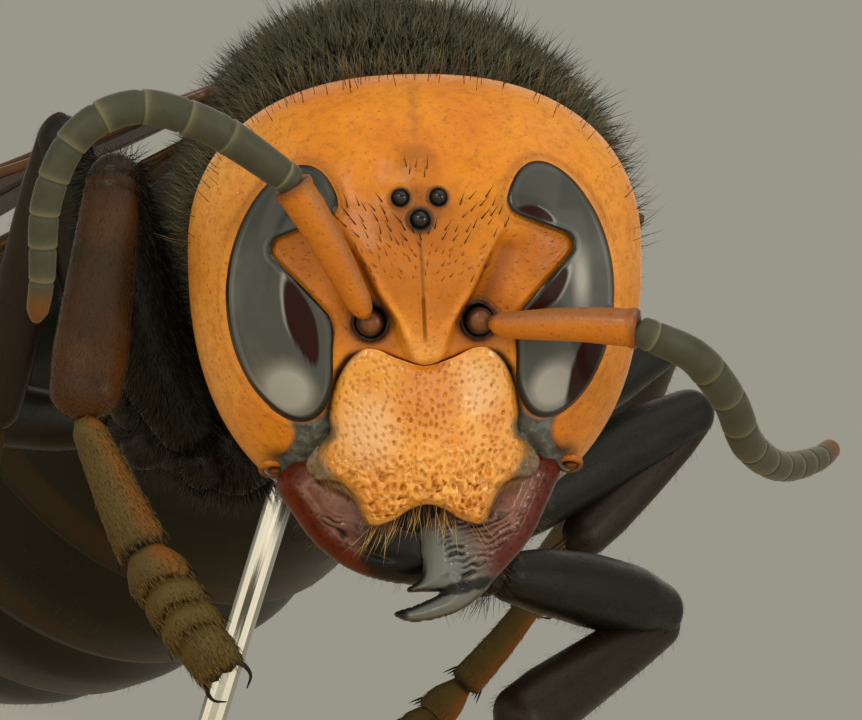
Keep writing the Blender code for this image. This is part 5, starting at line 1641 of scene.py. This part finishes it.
# Name, place, size, brightness
LIGHTS = (
    ("left_box", (-200.0, -110.0, 60.0), (220.0, 240.0), 0.8),
    ("right_box", (190.0, -140.0, 80.0), (220.0, 240.0), 0.75),
    ("top_box", (10.0, -60.0, 240.0), (260.0, 260.0), 0.85),
    ("front_box", (-40.0, -210.0, 45.0), (240.0, 70.0), 1.35),
    ("rear_box", (30.0, 220.0, 110.0), (240.0, 200.0), 0.7),
    ("left_spark", (-120.0, -170.0, 130.0), (50.0, 50.0), 11.0),
    ("right_spark", (120.0, -180.0, 110.0), (50.0, 50.0), 9.0),
)
FLOOR_RADIUS = 300.0


def set_camera():
    """The photograph's view."""
    ahead = np.array([-sin(VIEW_AZIMUTH), cos(VIEW_AZIMUTH), 0.0])
    right = np.array([cos(VIEW_AZIMUTH), sin(VIEW_AZIMUTH), 0.0])
    up = np.array([0.0, 0.0, 1.0])
    across = right * cos(VIEW_ROLL) + up * sin(VIEW_ROLL)
    tall = -right * sin(VIEW_ROLL) + up * cos(VIEW_ROLL)
    place = (np.array(VIEW_TARGET) - ahead * VIEW_DISTANCE) * MM
    lens = bpy.data.cameras.new("camera")
    lens.sensor_width = 36.0
    lens.lens = 36.0 * VIEW_DISTANCE / VIEW_WIDTH
    lens.clip_start = 0.001
    camera = bpy.data.objects.new("camera", lens)
    bpy.context.collection.objects.link(camera)
    turn = Matrix([list(row) + [0] for row in np.stack([across, tall, -ahead], -1)] + [[0, 0, 0, 1]])
    camera.matrix_world = Matrix.Translation(Vector(place)) @ turn
    bpy.context.scene.camera = camera


def add_light(name, place, size, brightness):
    """A soft box turned towards the head: its place and size in millimetres, and its face's brightness."""
    light = bpy.data.lights.new(name, "AREA")
    light.shape = "RECTANGLE"
    light.size = size[0] * MM
    light.size_y = size[1] * MM
    light.energy = brightness * pi * light.size * light.size_y
    light.color = linear(LIGHT_COLOUR)[:3]
    item = bpy.data.objects.new(name, light)
    bpy.context.collection.objects.link(item)
    item.visible_camera = False
    item.location = Vector(place) * MM
    item.rotation_euler = (Vector(LIGHT_AIM) - Vector(place)).to_track_quat("-Z", "Y").to_euler()


def set_stage():
    """Soft boxes, a grey room and a paper floor."""
    scene = bpy.context.scene
    scene.view_settings.view_transform = "Standard"
    world = bpy.data.worlds.new("soft_grey_room")
    world.use_nodes = True
    world.node_tree.nodes["Background"].inputs["Color"].default_value = linear("#9A978B")
    scene.world = world
    for light in LIGHTS:
        add_light(*light)
    mesh = bpy.data.meshes.new("studio_floor")
    radius = FLOOR_RADIUS * MM
    ring = [(radius * cos(2 * pi * k / 64), radius * sin(2 * pi * k / 64), 0.0) for k in range(64)]
    mesh.from_pydata(ring, [], [tuple(range(64))])
    floor = bpy.data.objects.new("studio_floor", mesh)
    bpy.context.collection.objects.link(floor)
    mesh.materials.append(studio_floor())


def keep(piece, slot, *nodes):
    """Say what a piece rides on and which nodes it stands for; its material slot is not used."""
    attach(piece, "root")
    if nodes:
        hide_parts(*nodes)
    return piece


set_camera()
set_stage()

orange = cuticle_orange()
pitted = cuticle_pitted()
lens_finish = eye_lens()
mahogany = jaw_shell()
olive = whip_shell()
black_shell = body_shell("wasp_cuticle_black", "#070704", "#11110A", 0.6, 0.05)
leg_shell = body_shell("leg_cuticle_black", "#070805", "#12140C", 0.45, 0.12)
foot_finish = body_shell("foot_cuticle_olive", "#3A3519", "#5E5428", 0.6, 0.0, "#784814")
gaster_shell = body_shell("gaster_cuticle_banded", "#10130C", "#1B1D14", 0.5, 0.12)
membrane = wing_membrane()
vein = wing_vein()
dark_hair = hair_finish("hair_black_brown", "#050403", "#3A3624")
fuzz_hair = hair_finish("hair_grey_olive", "#15160E", "#77775A")
gold_hair = hair_finish("hair_golden", "#A07430", "#F4D490")
brown_hair = hair_finish("hair_dark_brown", "#1C0F06", "#3B230F")
fawn_hair = hair_finish("hair_fawn", "#3A2C14", "#A8935A")
foot_hair = hair_finish("hair_olive_gold", "#33260E", "#BC9A48")
shin_hair = hair_finish("hair_tawny", "#2A1808", "#8A6530")

head = keep(make_head(orange), "head_shell", "head")
for side, tag in ((-1, "r"), (1, "l")):
    keep(make_eye(side, lens_finish), "eye_facets", "eye_" + tag)
    keep(make_scape(tag, orange), "scape_shell", "scape_" + tag)
whips = {tag: keep(make_whip(tag, olive), "whip_shell", "flagellum_base_" + tag, "flagellum_tip_" + tag)
         for tag in ("r", "l")}
keep(make_ocelli(lens_finish), "eye_facets")
clypeus = keep(make_clypeus(pitted), "face_shield", "clypeus")
keep(make_labrum(black_shell), "jaw_shell")
keep(make_hinges(orange), "head_shell")
jaws = {tag: keep(make_jaw(tag, mahogany), "jaw_shell", "mandible_" + tag) for tag in ("r", "l")}
thorax = keep(make_thorax(black_shell), "body_shell", "pronotum", "mesothorax", "propodeum")
keep(make_neck(black_shell), "body_shell", "neck")
gaster = keep(make_gaster(gaster_shell), "gaster_shell", *["gaster_%d" % n for n in range(1, 7)])
legs = {}
feet = {}
for tag in LEGS:
    leg, foot = make_leg(tag, leg_shell, foot_finish)
    slot = "fore_shin_shell" if tag == "fore_r" else "leg_shell"
    legs[tag] = keep(leg, slot, "coxa_" + tag, "femur_" + tag, "tibia_" + tag)
    feet[tag] = keep(foot, "foot_shell", "tarsus_" + tag)
for name in WINGS:
    film, veins = make_wing(name, membrane, vein)
    keep(film, "wing_membrane", name)
    keep(veins, "wing_membrane")
for side in (-1, 1):
    keep(make_tegula(side, leg_shell), "leg_shell")

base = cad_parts["stand_base"]
base.data.materials.clear()
base.data.materials.append(limewood())
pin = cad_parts["stand_pin"]
pin.data.materials.clear()
pin.data.materials.append(drawn_steel())

planting = hair_tree()
fine = strand("strand_fine", 0.012, 0.12)
fuzz = strand("strand_fuzz", 0.018, 0.25)
bristle = strand("strand_bristle", 0.03, 0.22)
stiff = strand("strand_stiff", 0.048, 0.3)
short = strand("strand_short", 0.05, 0.25)
# Name, skin, hair, finish, mark; hairs per square millimetre, least gap between them, length, length spread,
# lean, ruffle and seed
coats = [
    ("hair_frons", head, stiff, brown_hair, "frons", 60, 0.17, 0.34, 0.4, 0.72, 0.25, 5),
    ("hair_brow", head, stiff, brown_hair, "brow", 60, 0.13, 0.2, 0.5, 0.75, 0.3, 4),
    ("hair_crown", head, fine, fawn_hair, "crown", 16, 0.16, 0.85, 0.4, 0.3, 0.2, 6),
    ("hair_orbit", head, short, brown_hair, "down", 90, 0.0, 0.11, 0.4, 0.7, 0.3, 7),
    ("hair_lip", clypeus, fine, gold_hair, "fringe", 27, 0.0, 1.0, 0.5, 0.8, 0.3, 8),
    ("hair_comb", clypeus, fine, gold_hair, "comb", 200, 0.0, 0.36, 0.3, 0.9, 0.12, 9),
    ("hair_gaster", gaster, fine, fuzz_hair, "hair", 18, 0.0, 0.3, 0.5, 0.75, 0.3, 10),
    ("coat_long_front", thorax, fine, dark_hair, "front_coat", 26, 0.0, 1.28, 0.4, 0.15, 0.25, 43),
    ("coat_long_back", thorax, fine, dark_hair, "rear_coat", 20, 0.0, 1.0, 0.45, 0.25, 0.25, 53),
]
for n in range(3):
    name = "coat_fuzz_front_%d" % n
    coats.append((name, thorax, fuzz, fuzz_hair, "front_coat", 90, 0.0, 0.82, 0.5, 0.2, 0.35, 40 + n))
for n in range(3):
    name = "coat_fuzz_back_%d" % n
    coats.append((name, thorax, fuzz, fuzz_hair, "rear_coat", 40, 0.0, 0.75, 0.5, 0.3, 0.35, 50 + n))
for tag in ("r", "l"):
    coats += [
        ("hair_jaw_" + tag, jaws[tag], fine, fawn_hair, "fringe", 30, 0.0, 0.35, 0.5, 0.4, 0.3, 12),
        ("hair_whip_" + tag, whips[tag], short, fawn_hair, "hair", 110, 0.0, 0.045, 0.4, 0.5, 0.3, 13),
    ]
for number, tag in enumerate(LEGS):
    if tag == "fore_r":
        shin = (short, shin_hair, "hair", 240, 0.0, 0.13, 0.5, 0.75, 0.3)
    else:
        shin = (fine, dark_hair, "hair", 30, 0.0, 0.3, 0.5, 0.6, 0.3)
    on_hip, on_foot = (115, 300) if tag == "fore_r" else (50, 70)
    coats += [
        ("hair_leg_" + tag, legs[tag], *shin, 20 + number),
        ("hair_hip_" + tag, legs[tag], fine, dark_hair, "coxa", on_hip, 0.0, 0.75, 0.5, 0.35, 0.35,
         60 + number),
        ("hair_foot_" + tag, feet[tag], bristle, foot_hair, "hair", on_foot, 0.0, 0.28, 0.5, 0.8, 0.25,
         30 + number),
    ]
for coat in coats:
    plant(planting, *coat)
for item in (fine, fuzz, bristle, stiff, short):
    bpy.data.objects.remove(item)
